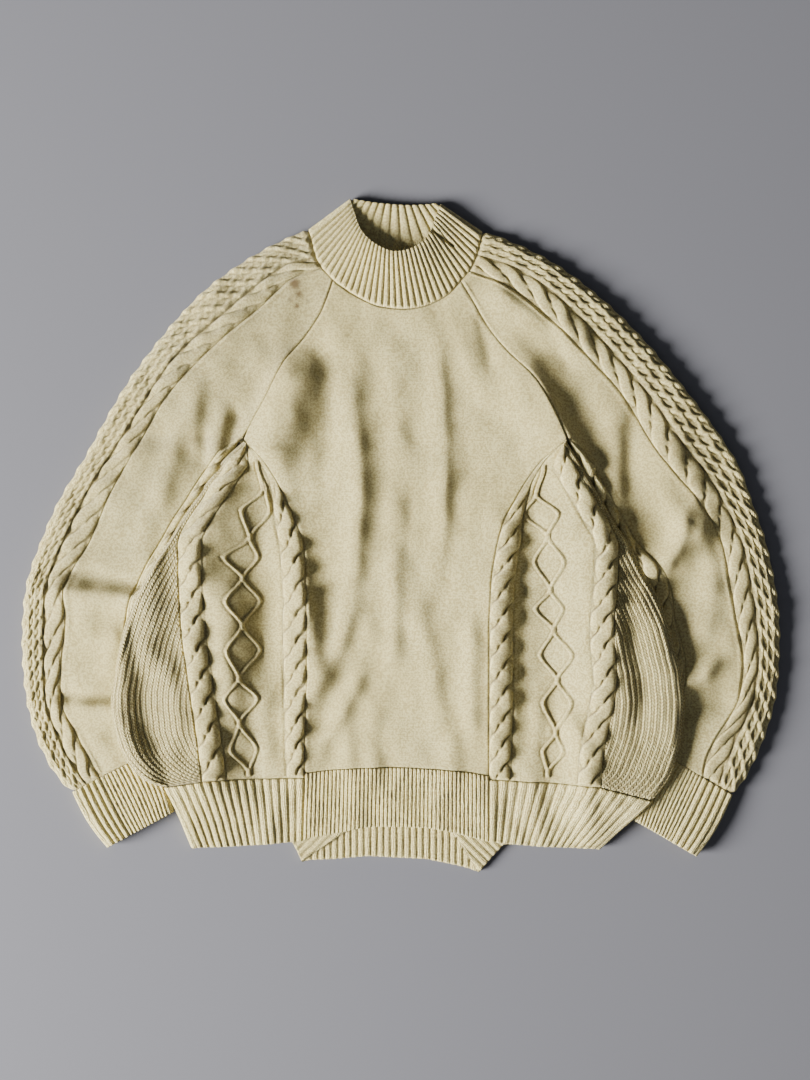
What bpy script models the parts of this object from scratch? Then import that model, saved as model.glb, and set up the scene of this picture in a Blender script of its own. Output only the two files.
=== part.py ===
"""A cable knit jumper laid flat on a surface: raglan balloon sleeves, mock neck, cabled sides.

Plan tables are in pattern millimetres: x to the right and y down the garment, over the laid-out
shape. Heights are millimetres above the surface. Every piece is a wall of cloth of one thickness,
its outer face built from columns of points that carry the cables and ribs, its inner face plain.
"""
import bpy
import bmesh
import numpy as np
from math import cos, pi, radians, sin

# Driving sizes, millimetres
MM = 0.001
CENTRE_X = 401.0
CENTRE_Y = 535.5
WALL = 2.5
SEAM_GAP = 0.4
STACK = 7.0                 # front and back walls with the air between them
FOLD_REACH = 4.5            # half width of a folded edge, in plan
FOLD_MIN = 7.5              # narrowest strip that can carry a folded edge
BODY_LIFT = 9.8             # how far the body rises to lie on the sleeves
LIFT_RAMP = 40.0
GUSSET_UNDER = 22.0         # cloth turned under at the side, outer sleeve and underarm folds
BAND_UNDER = 20.0
BAND_UNDER_NECK = 12.0
UNDERARM_UNDER = 15.0
RAGLAN_BOW = 6.0

# Raised stitches: heights, widths and pitches, millimetres
ROPE_RISE = 4.0
UNDERARM_ROPE_RISE = 2.2
SLEEVE_ROPE_PITCH = 30.0
BODY_ROPE_PITCH = 26.0
BODY_ROPE_WIDTH = 22.0
ROPE_LEAN = 0.8             # the slit's run along the rope from side to side, in pitches
SLIT_HALF = 0.15            # half width of the slit between two lobes, in pitches
LINK_RISE = 2.4
LINK_PITCH = 20.5
LINK_SWING = 0.055          # each strand's swing to either side, as a share of the band's width
END_CLEAR = 4.0             # nearest that raised stitches start to a strip's ends
CORD_RISE = 2.2
CORD_HALF = 2.3
RIB_RISE = 1.3
FINE_RIB_RISE = 0.9

# Ribs in each ribbed piece
GUSSET_RIBS = 10
SIDE_HEM_RIBS = 16
CENTRE_HEM_RIBS = 46
BACK_HEM_RIBS = 28
COLLAR_RIBS = 36
CUFF_WIDE_RIBS = 5
CUFF_FINE_RIBS = 13

COLLAR_RIM_HEIGHT = 24.0
CUFF_MOUTH = 9.0
CUFF_LENGTH = 60.0
HEM_DEPTH = 60.0
END_TRIM = 0.02             # share of the end rows given up to the seam's gap
RIDGE_ANGLE = 30.0          # edges steeper than this stay crisp

COLOUR = (0.80, 0.76, 0.60, 1.0)
COLOUR_SHADES = {"rib": 0.97, "cable": 1.0, "plain": 1.03}


def table(names, rows):
    """Named columns of numbers, one row for each section."""
    return dict(zip(names.split(), np.array(rows, dtype=float).T))


# Sleeves, from the neck (first row) to the cuff (last): the outer edge, the line between the linked
# cables and the rope, the rope's inner line, the raglan and underarm seam, and the inner fold.
SLEEVE_COLUMNS = "outer_x outer_y cable_x cable_y rope_x rope_y seam_x seam_y inner_x inner_y"
SLEEVE_LEFT = table(SLEEVE_COLUMNS, [
    (308, 229, 316, 257, 322, 268, 333, 280, 333, 280),
    (270, 247, 284, 266, 290, 280, 322, 310, 322, 310),
    (232, 270, 249, 292, 262, 306, 303, 339, 303, 339),
    (195, 300, 214, 322, 226, 336, 284, 362, 284, 362),
    (160, 340, 178, 354, 191, 369, 267, 395, 267, 395),
    (130, 380, 149, 394, 163, 403, 254, 418, 254, 418),
    (106, 420, 127, 431, 145, 435, 243, 437, 243, 437),
    (84, 460, 104, 465, 124, 470, 214, 460, 220, 461),
    (60, 500, 83, 500, 105, 506, 185, 502, 192, 501),
    (42, 540, 64, 540, 88, 545, 161, 541, 169, 540),
    (28, 580, 48, 580, 66, 582, 139, 580, 164, 580),
    (23, 620, 44, 620, 66, 620, 126, 620, 165, 620),
    (23, 660, 44, 660, 62, 660, 131, 660, 164, 660),
    (27, 700, 46, 700, 62, 700, 137, 697, 163, 697),
    (38, 740, 60, 740, 79, 738, 141, 726, 160, 723),
    (55, 773, 73, 765, 91, 761, 141, 745, 155, 740),
    (72, 792, 87, 784.3, 100, 777.6, 138, 758.2, 150, 752),
])
SLEEVE_RIGHT = table(SLEEVE_COLUMNS, [
    (483, 231, 477, 255, 470, 271, 461, 281, 461, 281),
    (520, 246, 507, 264, 498, 281, 474, 302, 474, 302),
    (553, 263, 538, 281, 524, 297, 490, 329, 490, 329),
    (588, 288, 571, 309, 557, 326, 510, 354, 510, 354),
    (622, 318, 603, 342, 588, 358, 532, 376, 532, 376),
    (655, 353, 632, 375, 615, 386, 550, 404, 550, 404),
    (685, 390, 656, 405, 637, 418, 567, 440, 567, 440),
    (712, 425, 681, 443, 655, 450, 589, 464, 583, 466),
    (738, 465, 704, 471, 678, 478, 604, 488, 598, 490),
    (751, 500, 722, 500, 697, 500, 618, 512, 611.5, 514),
    (765, 540, 741, 540, 721, 540, 636, 541, 628, 542),
    (774, 580, 750, 580, 729, 580, 668, 579, 637, 577),
    (779, 620, 756, 620, 736, 620, 675, 620, 646, 620),
    (779, 660, 758, 660, 743, 660, 685, 660, 651, 660),
    (775, 700, 752, 700, 737, 700, 679, 699, 652, 697),
    (763, 740, 736, 738, 716, 736, 671, 729, 653, 725),
    (748, 773, 726, 765, 706, 760, 669, 746, 656, 742),
    (733, 795, 718, 786.2, 703, 777.3, 671, 758.5, 660, 752),
])
RAGLAN_ROWS = 6

# Body below the underarm, one row a line: the side fold, the gusset's seam, the princess seam.
BODY_COLUMNS = "side_x side_y gusset_x gusset_y princess_x princess_y"
BODY_LEFT = table(BODY_COLUMNS, [
    (238.5, 445, 244.5, 445, 248.7, 445),
    (222, 460, 230, 460, 263, 460),
    (207, 480, 215, 480, 276, 480),
    (194, 500, 202, 500, 286, 500),
    (181, 520, 189, 520, 295, 520),
    (170, 540, 180, 540, 303, 540),
    (157, 560, 180, 560, 305, 560),
    (146, 580, 180, 580, 306, 580),
    (136, 600, 181, 600, 307, 600),
    (128, 620, 182, 620, 307, 620),
    (123, 640, 184, 640, 307, 640),
    (119, 660, 187, 660, 307, 660),
    (116, 680, 190, 680, 307, 680),
    (113, 700, 193, 700, 306, 700),
    (115, 720, 196, 720, 306, 720),
    (120, 740, 199, 740, 305, 740),
    (129, 760, 201, 758, 305, 757),
    (145, 777, 202.5, 770, 305, 768),
    (166, 786, 203.5, 780, 305, 778),
])
BODY_RIGHT = table(BODY_COLUMNS, [
    (569, 445, 563.5, 445, 560, 445),
    (578, 460, 570, 460, 542, 460),
    (590, 480, 582, 480, 527, 480),
    (602, 500, 594, 500, 515, 500),
    (613, 520, 605, 520, 504, 520),
    (626, 540, 616, 540, 498, 540),
    (636, 560, 617, 560, 494, 560),
    (647, 580, 616, 580, 491, 580),
    (658, 600, 614, 600, 490, 600),
    (666, 620, 612, 620, 489, 620),
    (672, 640, 612, 640, 489, 640),
    (677, 660, 614, 660, 489, 660),
    (681, 680, 615, 680, 489, 680),
    (683, 700, 613, 700, 489, 700),
    (682, 720, 609, 720, 489, 720),
    (679, 740, 605, 740, 489, 740),
    (674, 760, 602, 757, 489, 756),
    (667, 778, 601, 773, 489, 769),
    (651, 799, 600, 786, 489, 780),
])
SIDE_ROWS = [0, 1, 2, 3, 4, 5, 6, 8, 10, 12, 14, 16, 17, 18]
PRINCESS_TOP_LEFT = (244.0, 440.0)
PRINCESS_TOP_RIGHT = (566.0, 440.0)

# The centre hem's seam corners, its lower edge, and the back hem's lower edge with its ribbed part.
CENTRE_HEM_LEFT = np.array([305.0, 767.0])
CENTRE_HEM_RIGHT = np.array([489.0, 767.0])
CENTRE_HEM_FOOT = table("x y", [
    (303, 842), (320, 840), (340, 832), (360, 828), (390, 826), (420, 827), (440, 829), (460, 837),
    (489, 842)])
BACK_HEM_FOOT = table("x y", [
    (216, 844), (291, 841), (296, 850), (302, 863), (308, 861), (333, 860), (368, 857), (427, 860),
    (456, 866), (468, 869), (479, 873), (492, 858), (504, 845), (577, 844)])
BACK_HEM_RIBBED = (302.0, 479.0)

# The collar's seam on the front, left tip to right tip, and its seam on the back.
COLLAR_BASE = table("x y", [
    (308, 229), (316, 257), (322, 268), (333, 280), (345, 289), (360, 298), (375, 305), (390, 308),
    (405, 309), (420, 307), (435, 302), (450, 293), (461, 281), (470, 271), (477, 255), (483, 231)])
COLLAR_RIM = table("x y", [
    (350, 198), (355, 214), (361, 230), (371, 242), (386, 251), (398, 253), (411, 250), (422, 243),
    (431, 231), (436, 216), (441, 203)])
COLLAR_BACK_BASE = table("x y", [
    (308, 229), (316, 238), (333, 246), (352, 250), (395, 252), (440, 250), (461, 247), (476, 239),
    (483, 231)])
COLLAR_BACK_RIM = table("x y", [(350, 198), (360, 200), (380, 203), (410, 205), (441, 203)])

# Where the back's raglan seams and the sleeve bands' turned-under edges meet the back neck.
BACK_NECK = {
    "left_raglan": (333.0, 246.0), "left_band": (316.0, 238.0),
    "right_raglan": (461.0, 247.0), "right_band": (476.0, 239.0)}

# The diamond lattice's two cords: leftmost and rightmost cord at each level, equal where they cross.
LATTICE_LEFT = table("y left right", [
    (466, 258, 258), (490, 263, 266), (511, 242, 270), (538, 250, 250), (557, 225, 258),
    (578, 243, 243), (601, 227, 260), (625, 243, 243), (650, 228, 260), (678, 240, 240),
    (698, 226, 258), (722, 240, 240), (749, 231, 257), (772, 249, 249)])
LATTICE_RIGHT = table("y left right", [
    (470, 543, 543), (495, 536, 536), (514, 523, 557), (536, 547, 547), (562, 534, 563),
    (590, 550, 550), (609, 535, 562), (630, 553, 553), (655, 540, 571), (680, 557, 557),
    (703, 543, 571), (733, 556, 556), (752, 543, 563), (773, 548, 548)])

# Lines at which the body has risen fully onto the sleeves, and how far it has risen at each level.
LIFT_LINE = table("y left right", [
    (440, 228, 575), (500, 195, 603), (540, 174, 623), (560, 168, 633), (580, 168, 634),
    (620, 169, 642), (660, 168, 647), (700, 167, 648), (740, 164, 649), (776, 163, 650),
    (790, 168, 645), (820, 178, 632), (850, 196, 604)])
LIFT_SHARE = table("y left right", [
    (484, 0, 0), (500, 0.2, 0.2), (520, 0.65, 0.65), (542, 1, 1), (785, 1, 1), (806, 0.35, 1),
    (820, 0, 0.65), (846, 0, 0)])

# Soft folds as ridges: a line, the ridge's half width and its height.
FOLD_COLUMNS = "x0 y0 x1 y1 half_width height"
BODY_FOLDS = table(FOLD_COLUMNS, [
    (350, 340, 352, 560, 14, 4.5),
    (397, 335, 392, 470, 11, 2.0),
    (462, 335, 456, 540, 13, 3.2),
    (312, 480, 330, 640, 15, 1.6),
    (345, 720, 388, 580, 11, 2.0),
    (430, 610, 462, 745, 10, 1.8),
    (400, 480, 402, 700, 60, 1.2),
])
SLEEVE_FOLDS = table(FOLD_COLUMNS, [
    (205, 380, 232, 425, 14, 3.2),
    (150, 480, 190, 430, 18, 2.2),
    (76, 575, 124, 576, 9, 2.2),
    (80, 640, 108, 642, 22, 2.4),
    (76, 712, 106, 716, 11, 2.2),
    (590, 400, 640, 520, 16, 4.4),
    (545, 345, 580, 375, 16, 2.0),
    (644, 556, 708, 550, 9, 4.0),
    (690, 620, 706, 612, 22, 2.4),
    (690, 682, 736, 676, 9, 4.0),
    (690, 735, 704, 728, 16, 1.8),
])


# Curves and heights


def smooth(t):
    t = np.clip(t, 0.0, 1.0)
    return t * t * (3.0 - 2.0 * t)


def spline(points, per_span):
    """A smooth curve through the points, per_span steps to each span."""
    pts = np.asarray(points, dtype=float)
    padded = np.vstack([2 * pts[0] - pts[1], pts, 2 * pts[-1] - pts[-2]])
    out = []
    for i in range(len(pts) - 1):
        a, b, c, d = padded[i:i + 4]
        for t in np.arange(per_span) / per_span:
            out.append(0.5 * (2 * b + (c - a) * t + (2 * a - 5 * b + 4 * c - d) * t * t
                              + (3 * b - a - 3 * c + d) * t ** 3))
    out.append(pts[-1])
    return np.array(out)


def lengths(line):
    steps = np.linalg.norm(np.diff(line, axis=0), axis=1)
    return np.concatenate([[0.0], np.cumsum(steps)])


def along(line, index):
    """Points of a polyline at row indices that may be fractions."""
    rows = np.arange(len(line))
    return np.column_stack([np.interp(index, rows, line[:, k]) for k in range(line.shape[1])])


def mix(a, b, f):
    return a + (b - a) * f


def unit(v):
    return v / np.maximum(np.linalg.norm(v, axis=-1, keepdims=True), 1e-9)


def toward(a, b, distance):
    """Points moved from a toward b by a distance."""
    return a + unit(b - a) * distance


def ridges(folds, x, y):
    total = np.zeros_like(x)
    for i in range(len(folds["x0"])):
        ax, ay = folds["x0"][i], folds["y0"][i]
        dx, dy = folds["x1"][i] - ax, folds["y1"][i] - ay
        t = np.clip(((x - ax) * dx + (y - ay) * dy) / (dx * dx + dy * dy), 0.0, 1.0)
        gap = np.hypot(x - ax - t * dx, y - ay - t * dy)
        total += folds["height"][i] * np.exp(-(gap / folds["half_width"][i]) ** 2)
    return total


def body_lift(x, y):
    """Height of the body's underside: nothing in the middle, lying on the sleeves at the sides."""
    left_line = np.interp(y, LIFT_LINE["y"], LIFT_LINE["left"])
    right_line = np.interp(y, LIFT_LINE["y"], LIFT_LINE["right"])
    left = smooth((left_line + LIFT_RAMP - x) / LIFT_RAMP)
    right = smooth((x - right_line + LIFT_RAMP) / LIFT_RAMP)
    left = left * np.interp(y, LIFT_SHARE["y"], LIFT_SHARE["left"])
    right = right * np.interp(y, LIFT_SHARE["y"], LIFT_SHARE["right"])
    return BODY_LIFT * (left + right)


def body_top(x, y):
    return body_lift(x, y) + STACK + ridges(BODY_FOLDS, x, y)


def sleeve_low(x, y):
    return np.zeros_like(x)


def sleeve_top(x, y):
    return STACK + ridges(SLEEVE_FOLDS, x, y)


def points(plan, z):
    """World points in metres from plan points in pattern millimetres and heights."""
    return np.column_stack([plan[:, 0] - CENTRE_X, CENTRE_Y - plan[:, 1], z]) * MM


def surface(plan, top, rise=0.0):
    return points(plan, top(plan[:, 0], plan[:, 1]) + rise)


# Shells


def zip_strip(verts, faces, a, b):
    """Triangles between two lines of vertices, always across the shorter diagonal."""
    i, j = 0, 0
    while i < len(a) - 1 or j < len(b) - 1:
        step_a = step_b = np.inf
        if i < len(a) - 1:
            step_a = np.linalg.norm(verts[a[i + 1]] - verts[b[j]])
        if j < len(b) - 1:
            step_b = np.linalg.norm(verts[a[i]] - verts[b[j + 1]])
        if step_a <= step_b:
            faces.append((a[i], a[i + 1], b[j]))
            i += 1
        else:
            faces.append((a[i], b[j + 1], b[j]))
            j += 1


def shell(outer, inner, ring=False):
    """A closed wall between outer and inner columns; a ring's last column meets its first."""
    verts, faces = [], []

    def add(columns):
        numbered = []
        for column in columns:
            numbered.append(list(range(len(verts), len(verts) + len(column))))
            verts.extend(column)
        return numbered + [numbered[0]] if ring else numbered

    outer_ids = add(outer)
    inner_ids = add(inner)
    for ids in (outer_ids, inner_ids):
        for a, b in zip(ids, ids[1:]):
            zip_strip(verts, faces, a, b)
    for end in (0, -1):
        zip_strip(verts, faces, [c[end] for c in outer_ids], [c[end] for c in inner_ids])
    if not ring:
        for end in (0, -1):
            zip_strip(verts, faces, outer_ids[end], inner_ids[end])
    return verts, faces


def piece(name, kind, outer, inner, ring=False):
    """The named object for one sewn piece, with its own material."""
    verts, faces = shell(outer, inner, ring)
    mesh = bpy.data.meshes.new(name)
    mesh.from_pydata([tuple(v) for v in verts], [], faces)
    bm = bmesh.new()
    bm.from_mesh(mesh)
    bmesh.ops.recalc_face_normals(bm, faces=bm.faces)
    bm.to_mesh(mesh)
    bm.free()
    mesh.shade_smooth()
    mesh.set_sharp_from_angle(angle=radians(RIDGE_ANGLE))
    mesh.materials.append(yarn(name, kind))
    obj = bpy.data.objects.new(name, mesh)
    garment.objects.link(obj)
    return obj


def yarn(name, kind):
    """Cream cotton yarn, a shade apart for ribs, cables and plain cloth."""
    material = bpy.data.materials.new(name)
    material.use_nodes = True
    shader = material.node_tree.nodes["Principled BSDF"]
    shade = COLOUR_SHADES[kind]
    shader.inputs["Base Color"].default_value = [c * shade for c in COLOUR[:3]] + [1.0]
    shader.inputs["Roughness"].default_value = 0.9
    shader.inputs["Metallic"].default_value = 0.0
    return material


# Columns of points


def trimmed(rows, keep=None):
    """Row indices of an edge, all or those kept, drawn in at both ends by the seam's allowance."""
    index = np.arange(rows, dtype=float)
    index[0] += END_TRIM
    index[-1] -= END_TRIM
    return index if keep is None else index[keep]


def every_other(rows):
    """The first, every second and the last of a number of rows."""
    return sorted(set(range(0, rows, 2)) | {rows - 1})


class Strip:
    """Cloth between two edge polylines that share their rows: across it 0 to 1, along it by row."""

    def __init__(self, left, right):
        self.left = left
        self.right = right
        self.length = lengths(0.5 * (left + right))

    def plan(self, across, rows):
        return mix(along(self.left, rows), along(self.right, rows), np.reshape(across, (-1, 1)))

    def pitch_rows(self, pitch, parts, values, offset=0.0):
        """Row indices, measured by length, at the given parts of every pitch, with a value for each.

        The strip's own trimmed ends come first and last, with the value nought.
        """
        total = self.length[-1]
        turns = np.arange(-1, int(total / pitch) + 2)
        marks = ((turns[:, None] + np.array(parts) + offset) * pitch).ravel()
        inside = (marks > END_CLEAR) & (marks < total - END_CLEAR)
        rows = np.interp(marks[inside], self.length, np.arange(len(self.length)))
        ends = trimmed(len(self.left))[[0, -1]]
        value = np.tile(values, len(turns))[inside]
        return np.concatenate([ends[:1], rows, ends[1:]]), np.concatenate([[0.0], value, [0.0]])


def rope_columns(strip, top, rise, pitch, lean):
    """Columns of a rope cable: slanting lobes with a slit between each and the next.

    lean is the slit's run along the strip from its left side to its right, in pitches.
    """
    columns = []
    for across, lobe, slit in ((0.10, 0.6, 0.0), (0.36, 1.0, 0.2), (0.64, 1.0, 0.2), (0.90, 0.6, 0.0)):
        rows, heights = strip.pitch_rows(pitch, (0.0, SLIT_HALF, 1.0 - SLIT_HALF), (slit, lobe, lobe),
                                         lean * across)
        columns.append(surface(strip.plan(across, rows), top, heights * rise))
    return columns


def plain_columns(strip, top, shares, rise=0.0, keep=None):
    """Columns across a strip; the edges have every row, and those between may keep fewer."""
    columns = []
    for share in shares:
        rows = trimmed(len(strip.left), None if share in (0.0, 1.0) else keep)
        columns.append(surface(strip.plan(share, rows), top, rise))
    return columns


def fold_columns(edge, over, under, top, low, rows, angles, wall=0.0, rise=0.0):
    """Columns round a folded edge: an ellipse between the low side and the top, wall inside it."""
    tip = along(edge, rows)
    to_over = unit(along(over, rows) - tip)
    to_under = unit(along(under, rows) - tip)
    columns = []
    for angle in angles:
        a = radians(angle)
        reach = wall + (FOLD_REACH - wall) * (1 - cos(a)) - rise * cos(a)
        plan = tip + (to_over if angle >= 0 else to_under) * reach
        high_z = top(tip[:, 0], tip[:, 1])
        low_z = low(tip[:, 0], tip[:, 1])
        half = 0.5 * (high_z - low_z) - wall
        z = 0.5 * (high_z + low_z) + (half + rise) * sin(a)
        columns.append(points(plan, z))
    return columns


# Edges


def edge(data, name):
    return np.column_stack([data[name + "_x"], data[name + "_y"]])


def sleeve_edges(data, back_top, neck_under):
    """The sleeve's long lines, two rows to each table row."""
    lines = {name: spline(edge(data, name), 2) for name in ("outer", "cable", "rope", "seam", "inner")}
    raglan_end = 2 * RAGLAN_ROWS
    lines["seam"][:raglan_end + 1] = lines["inner"][:raglan_end + 1]
    rows = np.arange(len(lines["outer"]))
    share = np.clip(rows / raglan_end, 0, 1)[:, None]
    raglan = mix(np.array(back_top), lines["inner"][raglan_end] + np.array([0.0, 1.0]), share)
    bow = np.sin(pi * share) * RAGLAN_BOW * unit(lines["outer"] - lines["inner"])
    below = rows > raglan_end
    gap = np.linalg.norm(lines["seam"] - lines["inner"], axis=1)[:, None]
    lines["seam"][below] = toward(lines["inner"], lines["seam"], np.maximum(gap, FOLD_MIN))[below]
    under_reach = np.maximum(UNDERARM_UNDER * smooth((rows - raglan_end) / 4.0), FOLD_MIN)[:, None]
    lower = toward(lines["inner"], lines["outer"], under_reach)
    lines["back"] = np.where(rows[:, None] <= raglan_end, raglan + bow, lower)
    band_reach = mix(BAND_UNDER_NECK, BAND_UNDER, smooth(rows / 6.0))[:, None]
    lines["under"] = toward(lines["outer"], lines["back"], band_reach)
    lines["under"][0] = neck_under
    return lines


def body_edges(data):
    """Side fold, gusset seam, princess seam and the gusset's seam on the back."""
    lines = {name: edge(data, name) for name in ("side", "gusset", "princess")}
    reach = mix(5.0, GUSSET_UNDER, smooth(np.arange(len(lines["side"])) / 4.0))[:, None]
    lines["under"] = toward(lines["side"], lines["princess"], reach)
    return lines


def inset(a, b, gap=SEAM_GAP / 2):
    """Both edges of a strip drawn toward each other by half the seam's gap."""
    return toward(a, b, gap), toward(b, a, gap)


# Sleeves


def sleeve_band(name, lines, lean):
    """Linked cables and a rope over the sleeve's outer edge, with a plain underside."""
    rows = trimmed(len(lines["outer"]))
    under, _ = inset(lines["under"], lines["outer"])
    rope_seam, _ = inset(lines["rope"], lines["cable"])
    fold_top = toward(lines["outer"], lines["cable"], FOLD_REACH)
    outer = [points(along(under, rows), np.zeros(len(rows)))]
    for angle, rise in ((-90, 0.0), (-20, 0.5), (45, 1.2)):
        outer += fold_columns(lines["outer"], lines["cable"], under, sleeve_top, sleeve_low, rows,
                              (angle,), rise=rise)
    outer += linked_columns(Strip(fold_top, lines["cable"]))
    rope = Strip(lines["cable"], rope_seam)
    outer += plain_columns(rope, sleeve_top, (0.0,))
    outer += rope_columns(rope, sleeve_top, ROPE_RISE, SLEEVE_ROPE_PITCH, lean)
    outer += plain_columns(rope, sleeve_top, (1.0,))
    kept = rows[every_other(len(rows))]
    inner = [points(along(under, rows), np.full(len(rows), WALL))]
    inner += fold_columns(lines["outer"], lines["cable"], under, sleeve_top, sleeve_low, kept,
                          (-90, 0, 90), wall=WALL)
    inner.append(surface(along(lines["cable"], kept), sleeve_top, -WALL))
    inner.append(surface(along(rope_seam, rows), sleeve_top, -WALL))
    piece(name, "cable", outer, inner)


def linked_columns(strip):
    """Two rows of links: pairs of strands that part and touch by turns, with furrows between."""
    columns = [surface(strip.plan(0.0, trimmed(len(strip.left))), sleeve_top)]
    wave_rows, swing = strip.pitch_rows(LINK_PITCH, (0.25, 0.75), (-LINK_SWING, LINK_SWING))
    rise = np.where(swing == 0.0, 0.0, LINK_RISE)
    strands = ((0.16, 1.0), (0.38, -1.0), (0.62, 1.0), (0.84, -1.0))
    for k, (centre, side) in enumerate(strands):
        plan = strip.plan(centre - side * swing, wave_rows)
        columns.append(surface(plan, sleeve_top, rise))
        if k < len(strands) - 1:
            furrow = 0.5 * (centre + strands[k + 1][0])
            rows = trimmed(len(strip.left))
            columns.append(surface(strip.plan(furrow, rows), sleeve_top, 0.4))
    return columns


def sleeve_front(name, lines):
    """The plain front of the sleeve, from the rope to the raglan and underarm seam."""
    left, right = inset(lines["rope"], lines["seam"])
    strip = Strip(left, right)
    outer = plain_columns(strip, sleeve_top, np.linspace(0, 1, 7))
    inner = plain_columns(strip, sleeve_top, np.linspace(0, 1, 5), -WALL)
    piece(name, "plain", outer, inner)


def sleeve_underarm(name, lines, lean):
    """The rope-cabled strip that wraps the sleeve's inner fold, below the underarm."""
    first = 2 * RAGLAN_ROWS + 1
    part = {key: line[first:] for key, line in lines.items()}
    rows = trimmed(len(part["inner"]))
    seam, _ = inset(part["seam"], part["inner"])
    back, _ = inset(part["back"], part["inner"])
    tip = part["inner"]
    fold_top = toward(tip, seam, FOLD_REACH)
    share = np.clip((np.linalg.norm(seam - tip, axis=1) - FOLD_REACH) / 24.0, 0.05, 1.0)
    rope = Strip(seam, mix(seam, fold_top, 0.9))
    outer = plain_columns(rope, sleeve_top, (0.0,))
    for column in rope_columns(rope, sleeve_top, 1.0, SLEEVE_ROPE_PITCH, lean):
        base = surface_like(column, sleeve_top)
        width = np.interp(-column[:, 1], -points(seam, share)[:, 1], share)
        column[:, 2] = base + (column[:, 2] - base) * UNDERARM_ROPE_RISE * smooth(width)
        outer.append(column)
    outer += fold_columns(tip, seam, back, sleeve_top, sleeve_low, rows, (90, 45, 0, -45, -90))
    outer.append(points(along(back, rows), np.zeros(len(rows))))
    inner = [surface(along(seam, rows), sleeve_top, -WALL)]
    inner += fold_columns(tip, seam, back, sleeve_top, sleeve_low, rows, (90, 0, -90), wall=WALL)
    inner.append(points(along(back, rows), np.full(len(rows), WALL)))
    piece(name, "cable", outer, inner)


def surface_like(column, top):
    """The plain height, in metres, under the points of a column."""
    x = column[:, 0] / MM + CENTRE_X
    y = CENTRE_Y - column[:, 1] / MM
    return top(x, y) * MM


def sleeve_back(name, lines):
    """The plain back of the sleeve, flat on the surface."""
    left, right = inset(lines["under"], lines["back"])
    strip = Strip(left, right)
    keep = every_other(len(left))
    outer = plain_columns(strip, sleeve_low, (0.0, 0.5, 1.0), 0.0, keep)
    inner = plain_columns(strip, sleeve_low, (0.0, 0.5, 1.0), WALL, keep)
    piece(name, "plain", outer, inner)


def cuff(name, lines, end_outer, end_inner, outer_share):
    """A flat ribbed tube: wide ribs under the cabled strip, fine ribs under the plain cloth."""
    steps = np.array([SEAM_GAP / CUFF_LENGTH, 0.55, 1.0])
    outer_edge = np.array([mix(lines["outer"][-1], np.array(end_outer), t) for t in steps])
    inner_edge = np.array([mix(lines["inner"][-1], np.array(end_inner), t) for t in steps])
    rows = np.arange(len(steps), dtype=float)
    mouth = smooth(steps) * (CUFF_MOUTH - STACK)
    low = np.zeros(len(steps))

    def top(x, y):
        return np.full_like(x, STACK) + mouth

    def columns(angles, tip, over, wall=0.0):
        return fold_columns(tip, over, over, top, sleeve_low, rows, angles, wall)

    front = Strip(toward(outer_edge, inner_edge, FOLD_REACH), toward(inner_edge, outer_edge, FOLD_REACH))
    outer = columns((-90, -45, 0, 45), outer_edge, inner_edge)
    for first, last, ribs in ((0.0, outer_share, CUFF_WIDE_RIBS), (outer_share, 1.0, CUFF_FINE_RIBS)):
        for k in range(2 * ribs):
            share = mix(first, last, k / (2 * ribs))
            rise = FINE_RIB_RISE if k % 2 else 0.0
            plan = front.plan(share, rows)
            outer.append(points(plan, top(plan[:, 0], plan[:, 1]) + rise))
    outer += columns((90, 45, 0, -45, -90), inner_edge, outer_edge)
    outer += [points(front.plan(share, rows), low) for share in (0.67, 0.33)]
    inner = columns((-90, 0, 90), outer_edge, inner_edge, WALL)
    inner += [points(front.plan(share, rows), STACK - WALL + mouth) for share in (0.33, 0.67)]
    inner += columns((90, 0, -90), inner_edge, outer_edge, WALL)
    inner += [points(front.plan(share, rows), low + WALL) for share in (0.67, 0.33)]
    piece(name, "rib", outer, inner, ring=True)


# Body


def front_center(left_sleeve, right_sleeve, left_body, right_body):
    """The plain centre front: raglan seams above the underarm, princess seams below."""
    raglan = 2 * RAGLAN_ROWS
    left = np.vstack([left_sleeve["inner"][:raglan], PRINCESS_TOP_LEFT, left_body["princess"][1:-2],
                      CENTRE_HEM_LEFT])
    right = np.vstack([right_sleeve["inner"][:raglan], PRINCESS_TOP_RIGHT,
                       right_body["princess"][1:-2], CENTRE_HEM_RIGHT])
    left, right = inset(left, right)
    strip = Strip(left, right)
    top_x = COLLAR_BASE["x"][3:13]
    shares = (top_x - top_x[0]) / (top_x[-1] - top_x[0])

    def columns(rise):
        out = []
        for share in shares:
            rows = trimmed(len(left), None if share in (0.0, 1.0) else every_other(len(left)))
            rows[0] = 0.0
            plan = strip.plan(share, rows)
            decay = smooth(1.0 - np.interp(rows, np.arange(len(left)), strip.length) / 130.0)
            drop = np.interp(plan[0, 0], COLLAR_BASE["x"], COLLAR_BASE["y"]) - plan[0, 1] + SEAM_GAP
            plan[:, 1] += drop * decay
            out.append(surface(plan, body_top, rise))
        return out

    piece("front_center", "plain", columns(0.0), columns(-WALL))


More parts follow.
